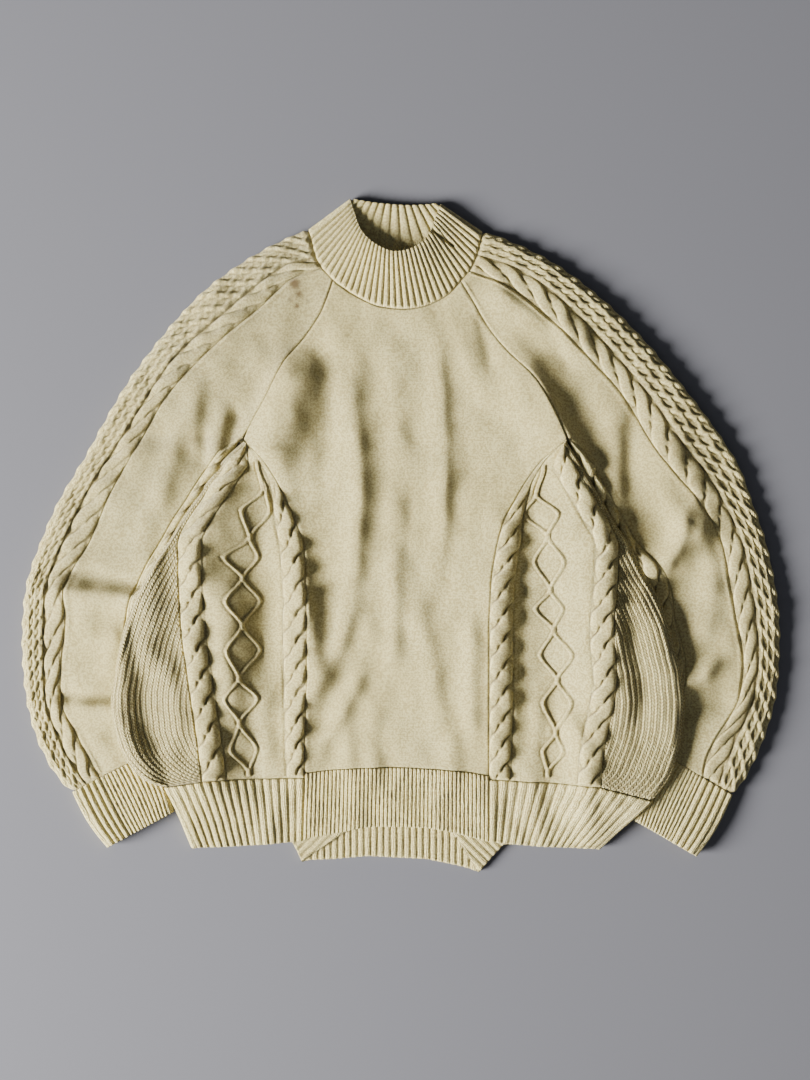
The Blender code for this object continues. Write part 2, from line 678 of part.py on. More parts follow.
def side_front(name, lines, lattice, outer_is_left, lean):
    """Two rope cables, narrowing to the underarm, with the diamond lattice between them."""
    gusset, princess = inset(lines["gusset"], lines["princess"])
    width = np.linalg.norm(princess - gusset, axis=1)
    outer_width = np.minimum(BODY_ROPE_WIDTH, 0.36 * width)
    inner_width = np.minimum(BODY_ROPE_WIDTH, 0.12 * width + 0.09 * np.maximum(width - 60.0, 0.0))
    outer_rope = toward(gusset, princess, outer_width[:, None])
    inner_rope = toward(princess, gusset, inner_width[:, None])
    ropes = [Strip(gusset, outer_rope), Strip(inner_rope, princess)]
    outer = plain_columns(ropes[0], body_top, (0.0,))
    outer += rope_columns(ropes[0], body_top, ROPE_RISE, BODY_ROPE_PITCH, lean)
    outer += plain_columns(ropes[0], body_top, (1.0,))
    outer += lattice_columns(lattice, outer_rope, inner_rope, outer_is_left)
    outer += plain_columns(ropes[1], body_top, (0.0,))
    outer += rope_columns(ropes[1], body_top, ROPE_RISE, BODY_ROPE_PITCH, lean)
    outer += plain_columns(ropes[1], body_top, (1.0,))
    whole = Strip(gusset, princess)
    inner = plain_columns(whole, body_top, (0, 0.08, 0.16, 0.25, 0.35, 0.55, 0.78, 1), -WALL,
                          SIDE_ROWS)
    piece(name, "cable", outer, inner)


def lattice_columns(lattice, outer_rope, inner_rope, outer_is_left):
    """Crest and feet of the two cords, kept apart where they cross."""
    side_a, side_b = ("left", "right") if outer_is_left else ("right", "left")
    sign = 1.0 if outer_is_left else -1.0
    y = lattice["y"]
    low_limit = np.interp(y, outer_rope[:, 1], outer_rope[:, 0]) * sign + 1.5
    high_limit = np.interp(y, inner_rope[:, 1], inner_rope[:, 0]) * sign - 1.5
    near = np.clip(lattice[side_a] * sign, low_limit + 2.4, high_limit - 4.2)
    far = np.clip(lattice[side_b] * sign, low_limit + 4.2, high_limit - 2.4)
    centre = 0.5 * (near + far)
    near = np.minimum(near, centre - 1.2)
    far = np.maximum(far, centre + 1.2)
    lines = (near - CORD_HALF, near, np.minimum(near + CORD_HALF, centre - 0.2),
             np.maximum(far - CORD_HALF, centre + 0.2), far, far + CORD_HALF)
    rises = (0.0, CORD_RISE, 0.0, 0.0, CORD_RISE, 0.0)
    ends = Strip(outer_rope, inner_rope)
    first, last = trimmed(len(outer_rope))[[0, -1]]
    columns = []
    for k, (line, rise) in enumerate(zip(lines, rises)):
        share_top = (k + 1) / 7
        bottom_x = ends.plan(0.0, [last])[0, 0], ends.plan(1.0, [last])[0, 0]
        share_bottom = (line[-1] * sign - bottom_x[0]) / (bottom_x[1] - bottom_x[0])
        plan = np.vstack([ends.plan(share_top, [first]), np.column_stack([line * sign, y]),
                          ends.plan(share_bottom, [last])])
        heights = np.concatenate([[0.0], np.full(len(y), rise), [0.0]])
        columns.append(surface(plan, body_top, heights))
    return columns


def gusset(name, lines):
    """Chunky tuck rib round the side fold, narrow at the underarm and wide above the hem."""
    rows = trimmed(len(lines["side"]))
    front_edge, _ = inset(lines["gusset"], lines["side"])
    under, _ = inset(lines["under"], lines["side"])
    fold_top = toward(lines["side"], lines["gusset"], FOLD_REACH)
    front = Strip(fold_top, front_edge)
    width = np.linalg.norm(front_edge - fold_top, axis=1)
    rise = RIB_RISE * np.interp(rows, np.arange(len(width)), smooth(width / 30.0))
    outer = [surface(along(under, rows), body_lift)]
    outer += fold_columns(lines["side"], lines["gusset"], under, body_top, body_lift, rows,
                          (-90, -45, 0, 45))
    for k in range(2 * GUSSET_RIBS + 1):
        kept = slice(None) if k == 2 * GUSSET_RIBS else SIDE_ROWS
        lift = rise[kept] if k % 2 else 0.0
        outer.append(surface(front.plan(k / (2 * GUSSET_RIBS), rows[kept]), body_top, lift))
    inner = [surface(along(under, rows), body_lift, WALL)]
    inner += fold_columns(lines["side"], lines["gusset"], under, body_top, body_lift, rows,
                          (-90, 0, 90), wall=WALL)
    inner += [surface(front.plan(share, rows[SIDE_ROWS]), body_top, -WALL)
              for share in (0.3, 0.5, 0.65, 0.8, 0.9)]
    inner.append(surface(along(front_edge, rows), body_top, -WALL))
    piece(name, "rib", outer, inner)


def back(left_sleeve, right_sleeve, left_body, right_body):
    """The plain back panel, from the back neck to the back hem."""
    raglan = 2 * RAGLAN_ROWS
    left = np.vstack([left_sleeve["back"][:raglan + 1], left_body["under"]])
    right = np.vstack([right_sleeve["back"][:raglan + 1], right_body["under"]])
    left, right = inset(left, right)
    strip = Strip(left, right)
    base_x = COLLAR_BACK_BASE["x"][2:7]
    neck = (base_x - base_x[0]) / (base_x[-1] - base_x[0])
    shares = sorted(set(neck) | {0.035, 0.07, 0.105, 0.895, 0.93, 0.965})
    keep = [0, 4, 8, 12] + list(range(13, 20)) + [21, 23, 25, 27, 29, 30, 31]

    def columns(rise):
        out = []
        for share in shares:
            rows = trimmed(len(left), None if share in (0.0, 1.0) else keep)
            rows[0] = 0.0
            plan = strip.plan(share, rows)
            seam_y = np.interp(plan[0, 0], COLLAR_BACK_BASE["x"], COLLAR_BACK_BASE["y"])
            decay = smooth(1.0 - np.interp(rows, np.arange(len(left)), strip.length) / 60.0)
            plan[:, 1] += (seam_y - plan[0, 1] + SEAM_GAP) * decay
            out.append(surface(plan, body_lift, rise))
        return out

    piece("back", "plain", columns(0.0), columns(WALL))


# Collar and hems


def collar():
    """The mock neck: a ribbed tube whose back lies flat and whose front stands over the opening."""
    base = np.column_stack([COLLAR_BASE["x"], COLLAR_BASE["y"]])
    rim = np.column_stack([COLLAR_RIM["x"], COLLAR_RIM["y"]])
    back_base = np.column_stack([COLLAR_BACK_BASE["x"], COLLAR_BACK_BASE["y"]])
    back_rim = np.column_stack([COLLAR_BACK_RIM["x"], COLLAR_BACK_RIM["y"]])
    rows = np.array([0.006, 0.35, 0.75, 1.0])

    def at_share(line, share):
        s = lengths(line)
        return along(line, [np.interp(share * s[-1], s, np.arange(len(s)))])[0]

    def arm(share, low, high, height, rise):
        a, b = at_share(low, share), at_share(high, share)
        plan = np.array([mix(a, b, t) for t in rows])
        return points(plan, height + rise)

    def front_height(share):
        crown = sin(pi * share) ** 0.7
        return STACK + crown * (COLLAR_RIM_HEIGHT - STACK) * smooth(0.85 * rows) / smooth(0.85)

    tip_reach = FOLD_REACH / lengths(base)[-1]
    back_reach = FOLD_REACH / lengths(back_base)[-1]
    wall_share = (WALL + 0.3) / lengths(base)[-1]
    back_tip = 0.3 * back_reach
    corner = tip_reach * (1 - cos(radians(45)))
    mid = STACK / 2
    outer, inner = [], []

    def side_fold(sequence, back_side, target, wall):
        for share, angle in sequence:
            low, high = (back_base, back_rim) if back_side else (base, rim)
            z = np.full(len(rows), mid + (mid - wall) * sin(radians(angle)))
            target.append(arm(share, low, high, z, 0.0))

    side_fold([(0.0, 0), (corner, 45)], False, outer, 0.0)
    for k in range(2 * COLLAR_RIBS + 1):
        share = mix(tip_reach, 1 - tip_reach, k / (2 * COLLAR_RIBS))
        lift = np.full(len(rows), RIB_RISE if k % 2 else 0.0)
        lift[[0, -1]] *= (0.6, 0.5)
        outer.append(arm(share, base, rim, front_height(share), lift))
    side_fold([(1 - corner, 45), (1.0, 0)], False, outer, 0.0)
    side_fold([(1 - back_tip, -45)], True, outer, 0.0)
    for share in np.linspace(1 - back_reach, back_reach, 7):
        outer.append(arm(share, back_base, back_rim, np.zeros(len(rows)), 0.0))
    side_fold([(back_tip, -45)], True, outer, 0.0)

    side_fold([(wall_share, 0)], False, inner, WALL)
    for share in np.linspace(tip_reach, 1 - tip_reach, 19):
        inner.append(arm(share, base, rim, front_height(share), -WALL))
    side_fold([(1 - wall_share, 0)], False, inner, WALL)
    for share in np.linspace(1 - back_reach, back_reach, 7):
        inner.append(arm(share, back_base, back_rim, np.full(len(rows), WALL), 0.0))
    piece("collar", "rib", outer, inner, ring=True)


def hem_front_center():
    """Fine rib under the centre front, its lower edge arched up in the middle."""
    foot_x, foot_y = CENTRE_HEM_FOOT["x"], CENTRE_HEM_FOOT["y"]
    drop = np.array([0.0, SEAM_GAP])
    left = np.array([CENTRE_HEM_LEFT + drop, (foot_x[0], foot_y[0])])
    right = np.array([CENTRE_HEM_RIGHT + drop, (foot_x[-1], foot_y[-1])])
    strip = Strip(*inset(left, right))
    rows = np.array([0.0, 1.0])

    def column(share, rise):
        plan = strip.plan(share, rows)
        arch = np.interp(plan[-1, 0], foot_x, foot_y) - plan[-1, 1]
        plan[:, 1] += arch * rows
        return surface(plan, body_top, rise)

    count = 2 * CENTRE_HEM_RIBS
    outer = [column(k / count, FINE_RIB_RISE * (k % 2)) for k in range(count + 1)]
    inner = [column(k / 16, -WALL) for k in range(17)]
    piece("hem_front_center", "rib", outer, inner)


def hem_side(name, lines, corner_princess, corner_side):
    """Wide rib round the side fold, below the gusset and the side front."""
    steps = np.array([SEAM_GAP / HEM_DEPTH, 0.3, 0.7, 1.0])
    princess_top, gusset_top, side_top = (lines[k][-1] for k in ("princess", "gusset", "side"))
    side = np.array([mix(side_top, np.array(corner_side), t) for t in steps])
    princess = np.array([mix(princess_top, np.array(corner_princess), t) for t in steps])
    princess, _ = inset(princess, side)
    gusset_share = (np.linalg.norm(gusset_top - princess_top)
                    / np.linalg.norm(side_top - princess_top))
    kink = gusset_top - mix(princess_top, side_top, gusset_share)
    rows = np.arange(len(steps), dtype=float)
    under_top = lines["under"][-1]
    under_end = toward(np.array(corner_side), np.array(corner_princess), GUSSET_UNDER)
    under = np.array([mix(under_top, under_end, t) for t in steps])
    fold_top = toward(side, princess, FOLD_REACH)

    def plan(share):
        line = mix(princess, fold_top, share)
        bend = min(share / gusset_share, (1 - share) / (1 - gusset_share))
        offset = np.outer(1 - steps, kink * bend) + np.outer(steps, (0.0, sin(pi * share)))
        return line + offset

    outer = []
    for k in range(2 * SIDE_HEM_RIBS + 1):
        rise = RIB_RISE if k % 2 else 0.0
        outer.append(surface(plan(k / (2 * SIDE_HEM_RIBS)), body_top, rise))
    outer += fold_columns(side, princess, under, body_top, body_lift, rows, (45, 0, -45, -90))
    outer.append(surface(under, body_lift))
    inner = [surface(plan(share), body_top, -WALL) for share in np.linspace(0, 1, 15)[:-1]]
    inner += fold_columns(side, princess, under, body_top, body_lift, rows, (90, 0, -90), wall=WALL)
    inner.append(surface(under, body_lift, WALL))
    piece(name, "rib", outer, inner)


def hem_back(left_body, right_body):
    """The longer back hem, its ribs showing below the front and its two corners folded over."""
    top_left, top_right = inset(left_body["under"][-1], right_body["under"][-1], SEAM_GAP)
    foot_x, foot_y = BACK_HEM_FOOT["x"], BACK_HEM_FOOT["y"]
    ribbed = np.linspace(*BACK_HEM_RIBBED, 2 * BACK_HEM_RIBS + 1)
    left_marks = (216, 232, 250, 270, 291, 296)
    right_marks = (485, 492, 504, 515, 527.4, 539.8, 552.2, 564.6, 577)
    marks = np.concatenate([left_marks, ribbed, right_marks])
    steps = np.array([SEAM_GAP / HEM_DEPTH, 0.4, 0.78, 1.0])

    def column(x, rise, wall):
        share = (x - foot_x[0]) / (foot_x[-1] - foot_x[0])
        foot = np.array([x, np.interp(x, foot_x, foot_y)])
        plan = np.array([mix(mix(top_left, top_right, share), foot, t) for t in steps])
        plan[:, 0] = np.where(steps > 0.4, mix(plan[:, 0], x, 0.8), plan[:, 0])
        return surface(plan, body_lift, wall + rise * (steps > 0.7))

    upper = []
    for k, x in enumerate(marks):
        crest = k % 2 and ribbed[0] < x < ribbed[-1]
        upper.append(column(x, FINE_RIB_RISE if crest else 0.0, WALL))
    lower = [column(x, 0.0, 0.0) for x in np.append(marks[::4], marks[-1])]
    piece("hem_back", "rib", upper, lower)


# The garment

for old in list(bpy.data.objects):
    bpy.data.objects.remove(old, do_unlink=True)

garment = bpy.data.collections.new("cable_knit_sweater")
bpy.context.scene.collection.children.link(garment)

left_lines = sleeve_edges(SLEEVE_LEFT, BACK_NECK["left_raglan"], BACK_NECK["left_band"])
right_lines = sleeve_edges(SLEEVE_RIGHT, BACK_NECK["right_raglan"], BACK_NECK["right_band"])
left_sides = body_edges(BODY_LEFT)
right_sides = body_edges(BODY_RIGHT)

front_center(left_lines, right_lines, left_sides, right_sides)
side_front("side_front_left", left_sides, LATTICE_LEFT, True, -ROPE_LEAN)
side_front("side_front_right", right_sides, LATTICE_RIGHT, False, ROPE_LEAN)
gusset("gusset_left", left_sides)
gusset("gusset_right", right_sides)
back(left_lines, right_lines, left_sides, right_sides)
collar()
hem_front_center()
hem_side("hem_side_left", left_sides, (303, 841), (192, 848))
hem_side("hem_side_right", right_sides, (489, 842), (600, 849))
hem_back(left_sides, right_sides)
for side, lines, lean in (("left", left_lines, -ROPE_LEAN), ("right", right_lines, ROPE_LEAN)):
    sleeve_band("sleeve_band_" + side, lines, lean)
    sleeve_front("sleeve_front_" + side, lines)
    sleeve_underarm("sleeve_underarm_" + side, lines, lean)
    sleeve_back("sleeve_back_" + side, lines)
cuff("cuff_left", left_lines, (108, 847), (173, 812), 0.36)
cuff("cuff_right", right_lines, (696, 856), (634, 820), 0.41)
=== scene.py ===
"""How the laid-out cable knit jumper looks: knitted pieces, stitches, folds, light and camera.

Plan tables are in pattern millimetres: x to the right and y down the garment. Heights are
millimetres above the surface that it lies on. Each piece is a wall of cloth in the place of the
solid of the same name, its face raised into cables, cords and ribs.
"""
from math import cos, pi, radians, sin, tau

import bmesh
import bpy
import numpy as np
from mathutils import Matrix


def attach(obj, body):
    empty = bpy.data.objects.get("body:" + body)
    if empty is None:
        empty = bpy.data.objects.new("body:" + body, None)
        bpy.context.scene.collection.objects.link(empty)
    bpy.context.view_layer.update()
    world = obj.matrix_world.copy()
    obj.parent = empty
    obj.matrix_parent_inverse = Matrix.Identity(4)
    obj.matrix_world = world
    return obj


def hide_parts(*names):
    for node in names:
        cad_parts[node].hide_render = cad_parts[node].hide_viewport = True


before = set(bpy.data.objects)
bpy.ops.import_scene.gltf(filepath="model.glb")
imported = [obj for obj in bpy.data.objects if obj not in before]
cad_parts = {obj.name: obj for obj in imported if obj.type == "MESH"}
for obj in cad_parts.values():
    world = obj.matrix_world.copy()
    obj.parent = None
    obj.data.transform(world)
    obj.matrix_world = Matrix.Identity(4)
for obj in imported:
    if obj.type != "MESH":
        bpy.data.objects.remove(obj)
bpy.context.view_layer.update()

SIDES = ("left", "right")

# Sizes, millimetres
MM = 0.001
CENTRE_X = 401.0
CENTRE_Y = 535.5
WALL = 2.4
INSIDE_LEAST = 0.3          # least height of a wall's inner side
CUFF_WALL = 2.0
CUFF_INSIDE_LEAST = 0.4
SEAM_GAP = 0.25
SEAM_ROUND = 1.7            # how far from a seam the cloth rounds down to it
SEAM_DROP = 1.2
STACK = 7.0                 # height of the front's face over the surface
LEAST_STACK = 4.9
FOLD_REACH = 4.5
FOLD_MIN = 7.5
BODY_LIFT = 9.8
LIFT_RAMP = 40.0
SWELL_IN = 44.0             # how much further in the front stays up than the back
SWELL_RAMP = 52.0
GUSSET_UNDER = 22.0
GUSSET_UNDER_TOP = 5.0
BAND_UNDER = 20.0
BAND_UNDER_NECK = 12.0
UNDERARM_UNDER = 15.0
RAGLAN_BOW = 6.0
BAND_TIP_IN = 1.6           # how far a fold lies inside the outline that its stitches reach
GUSSET_TIP_IN = 0.8
CUFF_TIP_IN = 1.0
CUFF_BULGE = 3.0
CUFF_RISE = 3.2
CUFF_FREE_ROUND = 0.5       # share of a seam's rounding at a free edge
HEM_FREE_ROUND = 0.6
HEM_BACK_LENGTH = 60.0
HEM_CENTRE_LENGTH = 66.0
HEM_SIDE_LENGTH = 64.0
COLLAR_LENGTH = 60.0
COLLAR_RIM_HEIGHT = 16.5
COLLAR_CROWN = 1.3          # power of the sine by which the rim stands up towards the middle
COLLAR_STAND = 0.85         # how much of its curve the collar has run through at the rim
SLIT_DEPTH = 3.2
SLIT_WIDTH = 1.5

# Rows of points
SUB = 6                     # fine rows to each half table row
ROUNDING = np.array([0.0, 0.25, 0.6])       # where rows lie on a seam's rounding
ROUNDING_NARROW = np.array([0.0, 0.5])
NARROW = 12.0               # a strip up to this wide has fewer rows on its rounding
ROUND_SHARE = 0.2           # the most of a narrow strip's width that its rounding takes
GAP_SHARE = 0.05
CURVE_ROWS = 40
CUFF_FRONT_ROWS = 100
CUFF_UNDER_ROWS = 9
HEM_RIB_ROWS = 7
COLLAR_RIB_ROWS = 8
HEM_EDGE = np.array([0.15, 0.5, 1.0, 1.6])
RAGLAN_SHORT = 4            # fine rows left out beside a corner that is a point of its own
PRINCESS_ROWS = slice(22, -20)
UNDER_ROWS = slice(16, None)
NECK_EASE = 130.0           # over how far a panel's rows ease from a curved end to straight
BACK_NECK_EASE = 60.0
HEM_EASE = 60.0
SHORT_FADE = 4.0            # over how far stitches sink into a seam at a piece's end
FOLD_ROWS = 17
FOLD_ROWS_SMALL = 15
FOLD_ROWS_CUFF = 11
CABLE_STEP = 1.15           # millimetres between rows, along and across a piece
ROPE_STEP = 1.25
FINE_STEP = 1.1
UNDERARM_STEP = 1.2
TUCK_STEP = 1.05
PLAIN_STEP = 2.6
CENTRE_STEP = 2.3
BACK_STEP = 5.0
SLEEVE_BACK_STEP = 6.0
UNDER_STEP = 4.0
UNDERARM_UNDER_STEP = 2.5
CUFF_STEP = 2.0
HEM_CENTRE_STEP = 2.4
HEM_SIDE_STEP = 2.2

# Knitting: pitches, widths and heights, millimetres
WALE = 2.1
COURSE = 1.75
SLEEVE_ROPE = {"pitch": 30.0, "rise": 3.3, "turn": 0.8, "over_by": 0.30}
UNDERARM_ROPE = {"pitch": 28.0, "rise": 4.6, "turn": 0.9, "over_by": 0.36}
BODY_ROPE = {"pitch": 26.5, "rise": 5.2, "turn": 1.3, "over_by": 0.42}
UNDERARM_ROPE_WIDTH = 23.0
UNDERARM_ROPE_IN = 1.4
UNDERARM_ROPE_GROWS = 40.0  # over how far it rises from flat below the underarm
UNDERARM_FOLD_SHARE = 0.55
BODY_ROPE_WIDTH = 24.0
NEAR_ROPE_SHARE = 0.56
FAR_ROPE_OPENS = 60.0       # the side front's width from which the rope at its far seam widens
FAR_ROPE_SHIFT = 7.0
STRAND_SWING = 0.20         # of a rope's width, from its middle to a strand at its border
STRAND_HALF = 0.30
STRAND_GROOVE = 0.38        # depth of the groove beside a strand, as a share of the rise
STRAND_GROOVE_WIDTH = 0.15
ROPE_UNEVEN = 0.08
ROPE_BORDER = 0.06
LINK_PITCH = 20.5
LINK_RISE = 3.4
LINK_CENTRES = (0.13, 0.375, 0.625, 0.87)       # these and the next two are shares of the width
LINK_HALF = 0.118
LINK_SWING = 0.058
LINK_TURN = 1.3
LINK_GROUND = 0.5           # height of the cloth between the links, as a share of the rise
LINK_GROOVE = 0.34
# how deep a crease lies for the yarn to get its full painted shade
FURROW_DEPTH = 1.1
CORD_RISE = 1.6
CORD_HALF = 1.3
CORD_FOOT = 2.0
CORD_FURROW = 0.5
CORD_EASE = 0.75            # how far the zigzag's corners are rounded
CORD_RUNS_ON = 4.0
MOAT_DEPTH = 0.9            # the furrow between a rope and the lattice's ground
MOAT_WIDTH = 1.6
WELT_WIDTH = 0.9
ROPE_WELT = (3.2, 0.9)      # distance from the seam, and rise
RAGLAN_WELT = (2.6, 0.5)
CENTRE_WELT = (2.6, 0.4)
TUCK_PITCH = 5.9
TUCK_SHIFT = 0.25
BEAD_PITCH = 3.3
BEAD_DEPTH = 0.25
BEAD_SLANT = 2.2
BACK_RIB_PITCH = 6.6
BACK_RIB_START = 305.0
BACK_HEM_SHOWS = (285.0, 510.0)
FLAP_RISE = 1.6
HEM_FLAPS = ((302.0, 861.5, 16, 24), (478.0, 872.0, -27, 17))    # a point, rise and run of each fold
COLLAR_RIBS = 36
COLLAR_INSIDE_RIBS = 13
COLLAR_INSIDE_IN = 1.6
COLLAR_BACK_LIFT = 3.0
FOLDED_RIB_SHARE = 0.15
CENTRE_HEM_RIBS = 46
SIDE_HEM_RIBS = 16
CUFF_WIDE_RIBS = 5
CUFF_FINE_RIBS = 13
RIB = {                     # depth, and the power that squares the crown
    "cuff_wide": (2.3, 2.4), "cuff_fine": (1.5, 2.4), "tuck": (1.3, 2.2), "collar": (1.9, 2.6),
    "collar_inside": (1.7, 2.4), "hem_centre": (1.25, 3.0), "hem_side": (1.7, 2.6),
    "hem_back": (1.4, 2.6)}
FOLD_TAPER = 0.3            # share of a fold's length over which either end dies out
CRUMPLE_SLOPE = 0.008       # height of the small unevenness, as a share of its size
CRUMPLE_BEND = 1.6
CRUMPLE_RUN = 2.3
CRUMPLES = ((43.0, 82.0, 0.3), (27.0, 101.0, 1.9), (61.0, 63.0, 4.0), (35.0, 140.0, 2.2))

# Colours, linear, and the noises of the yarn: how many to a metre, and their detail
YARN = (0.875, 0.812, 0.415, 1.0)
YARN_WARM = (0.855, 0.768, 0.360, 1.0)
# colour of the random dark flecks, and of the painted shade between stitch legs
YARN_FLECK_AND_SHADE = (0.550, 0.445, 0.185, 1.0)
# colour of the painted shade in the deepest creases and in the tuck's gaps
YARN_PAINTED_SHADE = (0.200, 0.150, 0.060, 1.0)
NAP_TINT = (1.0, 0.96, 0.86, 1.0)
FLOOR = (0.152, 0.154, 0.175, 1.0)
KEY_COLOUR = (1.0, 0.98, 0.94)
FILL_COLOUR = (0.96, 0.98, 1.0)
SKY = (0.90, 0.93, 1.0, 1.0)
SKY_STRENGTH = 0.12
NOISE = {"wobble": (110.0, 2.0), "nap": (1500.0, 3.0), "lumps": (260.0, 2.0), "wear": (9.0, 3.0),
         "fleck": (540.0, 0.0), "stain": (400.0, 2.0)}
STAIN = (0.27, 0.185, 0.075, 1.0)
STAINS = [                  # x, y, radius and strength
    (295, 284, 8.6, 1.9), (299, 294, 6.0, 1.7), (297, 306, 5.2, 2.0), (290, 300, 4.6, 1.5),
    (308, 301, 4.4, 0.9), (295, 292, 17.0, 0.26)]
STAIN_RAGGED = 0.003        # metres
NAP_SHARE = 0.5             # heights of the nap and the lumps beside a stitch's own
LUMP_SHARE = 0.9
FLECK_MOST = 0.95           # the most that fleck darkens the yarn, and the most painted shade in the gaps between legs and in furrows
SHADE_MOST = 0.75
FURROW_SHADE = 0.85

# Studio, metres and watts
FLOOR_REACH = 6.0
FLOOR_DOWN = 0.0004
KEY_PLACE = (-3.0, -1.03, 1.32)
KEY_SIZE = 1.7
KEY_POWER = 900.0
FILL_PLACE = (0.3, -1.9, 1.5)
FILL_SIZE = 2.0
FILL_POWER = 12.0
CAMERA_HEIGHT = 1.3
VIEW_HEIGHT = 1.080
VIEW_CENTRE = (405.0, 540.0)        # the photograph's middle, pattern millimetres
SENSOR = 36.0


def table(names, rows):
    """Named columns of numbers, one row for each section."""
    return dict(zip(names.split(), np.array(rows, dtype=float).T))


# Sleeves, from the neck (first row) to the cuff (last): the outer edge, the line between the linked
# cables and the rope, the rope's inner line, the raglan and underarm seam, and the inner fold.
SLEEVE_COLUMNS = "outer_x outer_y cable_x cable_y rope_x rope_y seam_x seam_y inner_x inner_y"
SLEEVE_LEFT = table(SLEEVE_COLUMNS, [
    (308, 229, 316, 257, 322, 268, 333, 280, 333, 280),
    (270, 247, 284, 266, 290, 280, 322, 310, 322, 310),
    (232, 270, 249, 292, 262, 306, 303, 339, 303, 339),
    (195, 300, 214, 322, 226, 336, 284, 362, 284, 362),
    (160, 340, 178, 354, 191, 369, 267, 395, 267, 395),
    (130, 380, 149, 394, 163, 403, 254, 418, 254, 418),
    (106, 420, 127, 431, 145, 435, 243, 437, 243, 437),
    (84, 460, 104, 465, 124, 470, 214, 460, 220, 461),
    (60, 500, 83, 500, 105, 506, 185, 502, 192, 501),
    (42, 540, 64, 540, 88, 545, 161, 541, 169, 540),
    (28, 580, 48, 580, 66, 582, 139, 580, 164, 580),
    (23, 620, 44, 620, 66, 620, 126, 620, 165, 620),
    (23, 660, 44, 660, 62, 660, 131, 660, 164, 660),
    (27, 700, 46, 700, 62, 700, 137, 697, 163, 697),
    (38, 740, 60, 740, 79, 738, 141, 726, 160, 723),
    (55, 773, 73, 765, 91, 761, 141, 745, 155, 740),
    (72, 792, 87, 784.3, 100, 777.6, 138, 758.2, 150, 752),
])
SLEEVE_RIGHT = table(SLEEVE_COLUMNS, [
    (483, 231, 477, 255, 470, 271, 461, 281, 461, 281),
    (520, 246, 507, 264, 498, 281, 474, 302, 474, 302),
    (553, 263, 538, 281, 524, 297, 490, 329, 490, 329),
    (588, 288, 571, 309, 557, 326, 510, 354, 510, 354),
    (622, 318, 603, 342, 588, 358, 532, 376, 532, 376),
    (655, 353, 632, 375, 615, 386, 550, 404, 550, 404),
    (685, 390, 656, 405, 637, 418, 567, 440, 567, 440),
    (712, 425, 681, 443, 655, 450, 589, 464, 583, 466),
    (738, 465, 704, 471, 678, 478, 604, 488, 598, 490),
    (751, 500, 722, 500, 697, 500, 618, 512, 611.5, 514),
    (765, 540, 741, 540, 721, 540, 636, 541, 628, 542),
    (774, 580, 750, 580, 729, 580, 668, 579, 637, 577),
    (779, 620, 756, 620, 736, 620, 675, 620, 646, 620),
    (779, 660, 758, 660, 743, 660, 685, 660, 651, 660),
    (775, 700, 752, 700, 737, 700, 679, 699, 652, 697),
    (763, 740, 736, 738, 716, 736, 671, 729, 653, 725),
    (748, 773, 726, 765, 706, 760, 669, 746, 656, 742),
    (733, 795, 718, 786.2, 703, 777.3, 671, 758.5, 660, 752),
])
SLEEVE = {"left": SLEEVE_LEFT, "right": SLEEVE_RIGHT}
RAGLAN_ROWS = 6

# Body below the underarm, one row a line: the side fold, the gusset's seam, the princess seam.
BODY_COLUMNS = "side_x side_y gusset_x gusset_y princess_x princess_y"
BODY_LEFT = table(BODY_COLUMNS, [
    (238.5, 445, 244.5, 445, 248.7, 445),
    (222, 460, 230, 460, 263, 460),
    (207, 480, 215, 480, 276, 480),
    (194, 500, 202, 500, 286, 500),
    (181, 520, 189, 520, 295, 520),
    (170, 540, 180, 540, 303, 540),
    (157, 560, 180, 560, 305, 560),
    (146, 580, 180, 580, 306, 580),
    (136, 600, 181, 600, 307, 600),
    (128, 620, 182, 620, 307, 620),
    (123, 640, 184, 640, 307, 640),
    (119, 660, 187, 660, 307, 660),
    (116, 680, 190, 680, 307, 680),
    (113, 700, 193, 700, 306, 700),
    (115, 720, 196, 720, 306, 720),
    (120, 740, 199, 740, 305, 740),
    (129, 760, 201, 758, 305, 757),
    (145, 777, 202.5, 770, 305, 768),
    (166, 786, 203.5, 780, 305, 778),
])
BODY_RIGHT = table(BODY_COLUMNS, [
    (569, 445, 563.5, 445, 560, 445),
    (578, 460, 570, 460, 542, 460),
    (590, 480, 582, 480, 527, 480),
    (602, 500, 594, 500, 515, 500),
    (613, 520, 605, 520, 504, 520),
    (626, 540, 616, 540, 498, 540),
    (636, 560, 617, 560, 494, 560),
    (647, 580, 616, 580, 491, 580),
    (658, 600, 614, 600, 490, 600),
    (666, 620, 612, 620, 489, 620),
    (672, 640, 612, 640, 489, 640),
    (677, 660, 614, 660, 489, 660),
    (681, 680, 615, 680, 489, 680),
    (683, 700, 613, 700, 489, 700),
    (682, 720, 609, 720, 489, 720),
    (679, 740, 605, 740, 489, 740),
    (674, 760, 602, 757, 489, 756),
    (667, 778, 601, 773, 489, 769),
    (651, 799, 600, 786, 489, 780),
])
BODY = {"left": BODY_LEFT, "right": BODY_RIGHT}
PRINCESS_TOP = {"left": (244.0, 440.0), "right": (566.0, 440.0)}

# The centre hem's seam corners, its lower edge, and the back hem's lower edge with its ribbed part.
CENTRE_HEM_CORNER = {"left": (305.0, 773.0), "right": (489.0, 776.0)}
CENTRE_HEM_SEAM = table("x y", [
    (305, 773), (339, 769.5), (372, 768), (405, 768), (456, 771), (489, 776)])
CENTRE_HEM_FOOT = table("x y", [
    (303, 841), (308, 838.5), (336, 833), (362, 828), (383, 827), (427, 828), (462, 835), (489, 842)])
BACK_HEM_FOOT = table("x y", [
    (216, 844), (291, 841), (296, 850), (302, 863), (308, 861), (333, 860), (368, 857), (427, 860),
    (456, 866), (468, 869), (479, 873), (492, 858), (504, 845), (577, 844)])

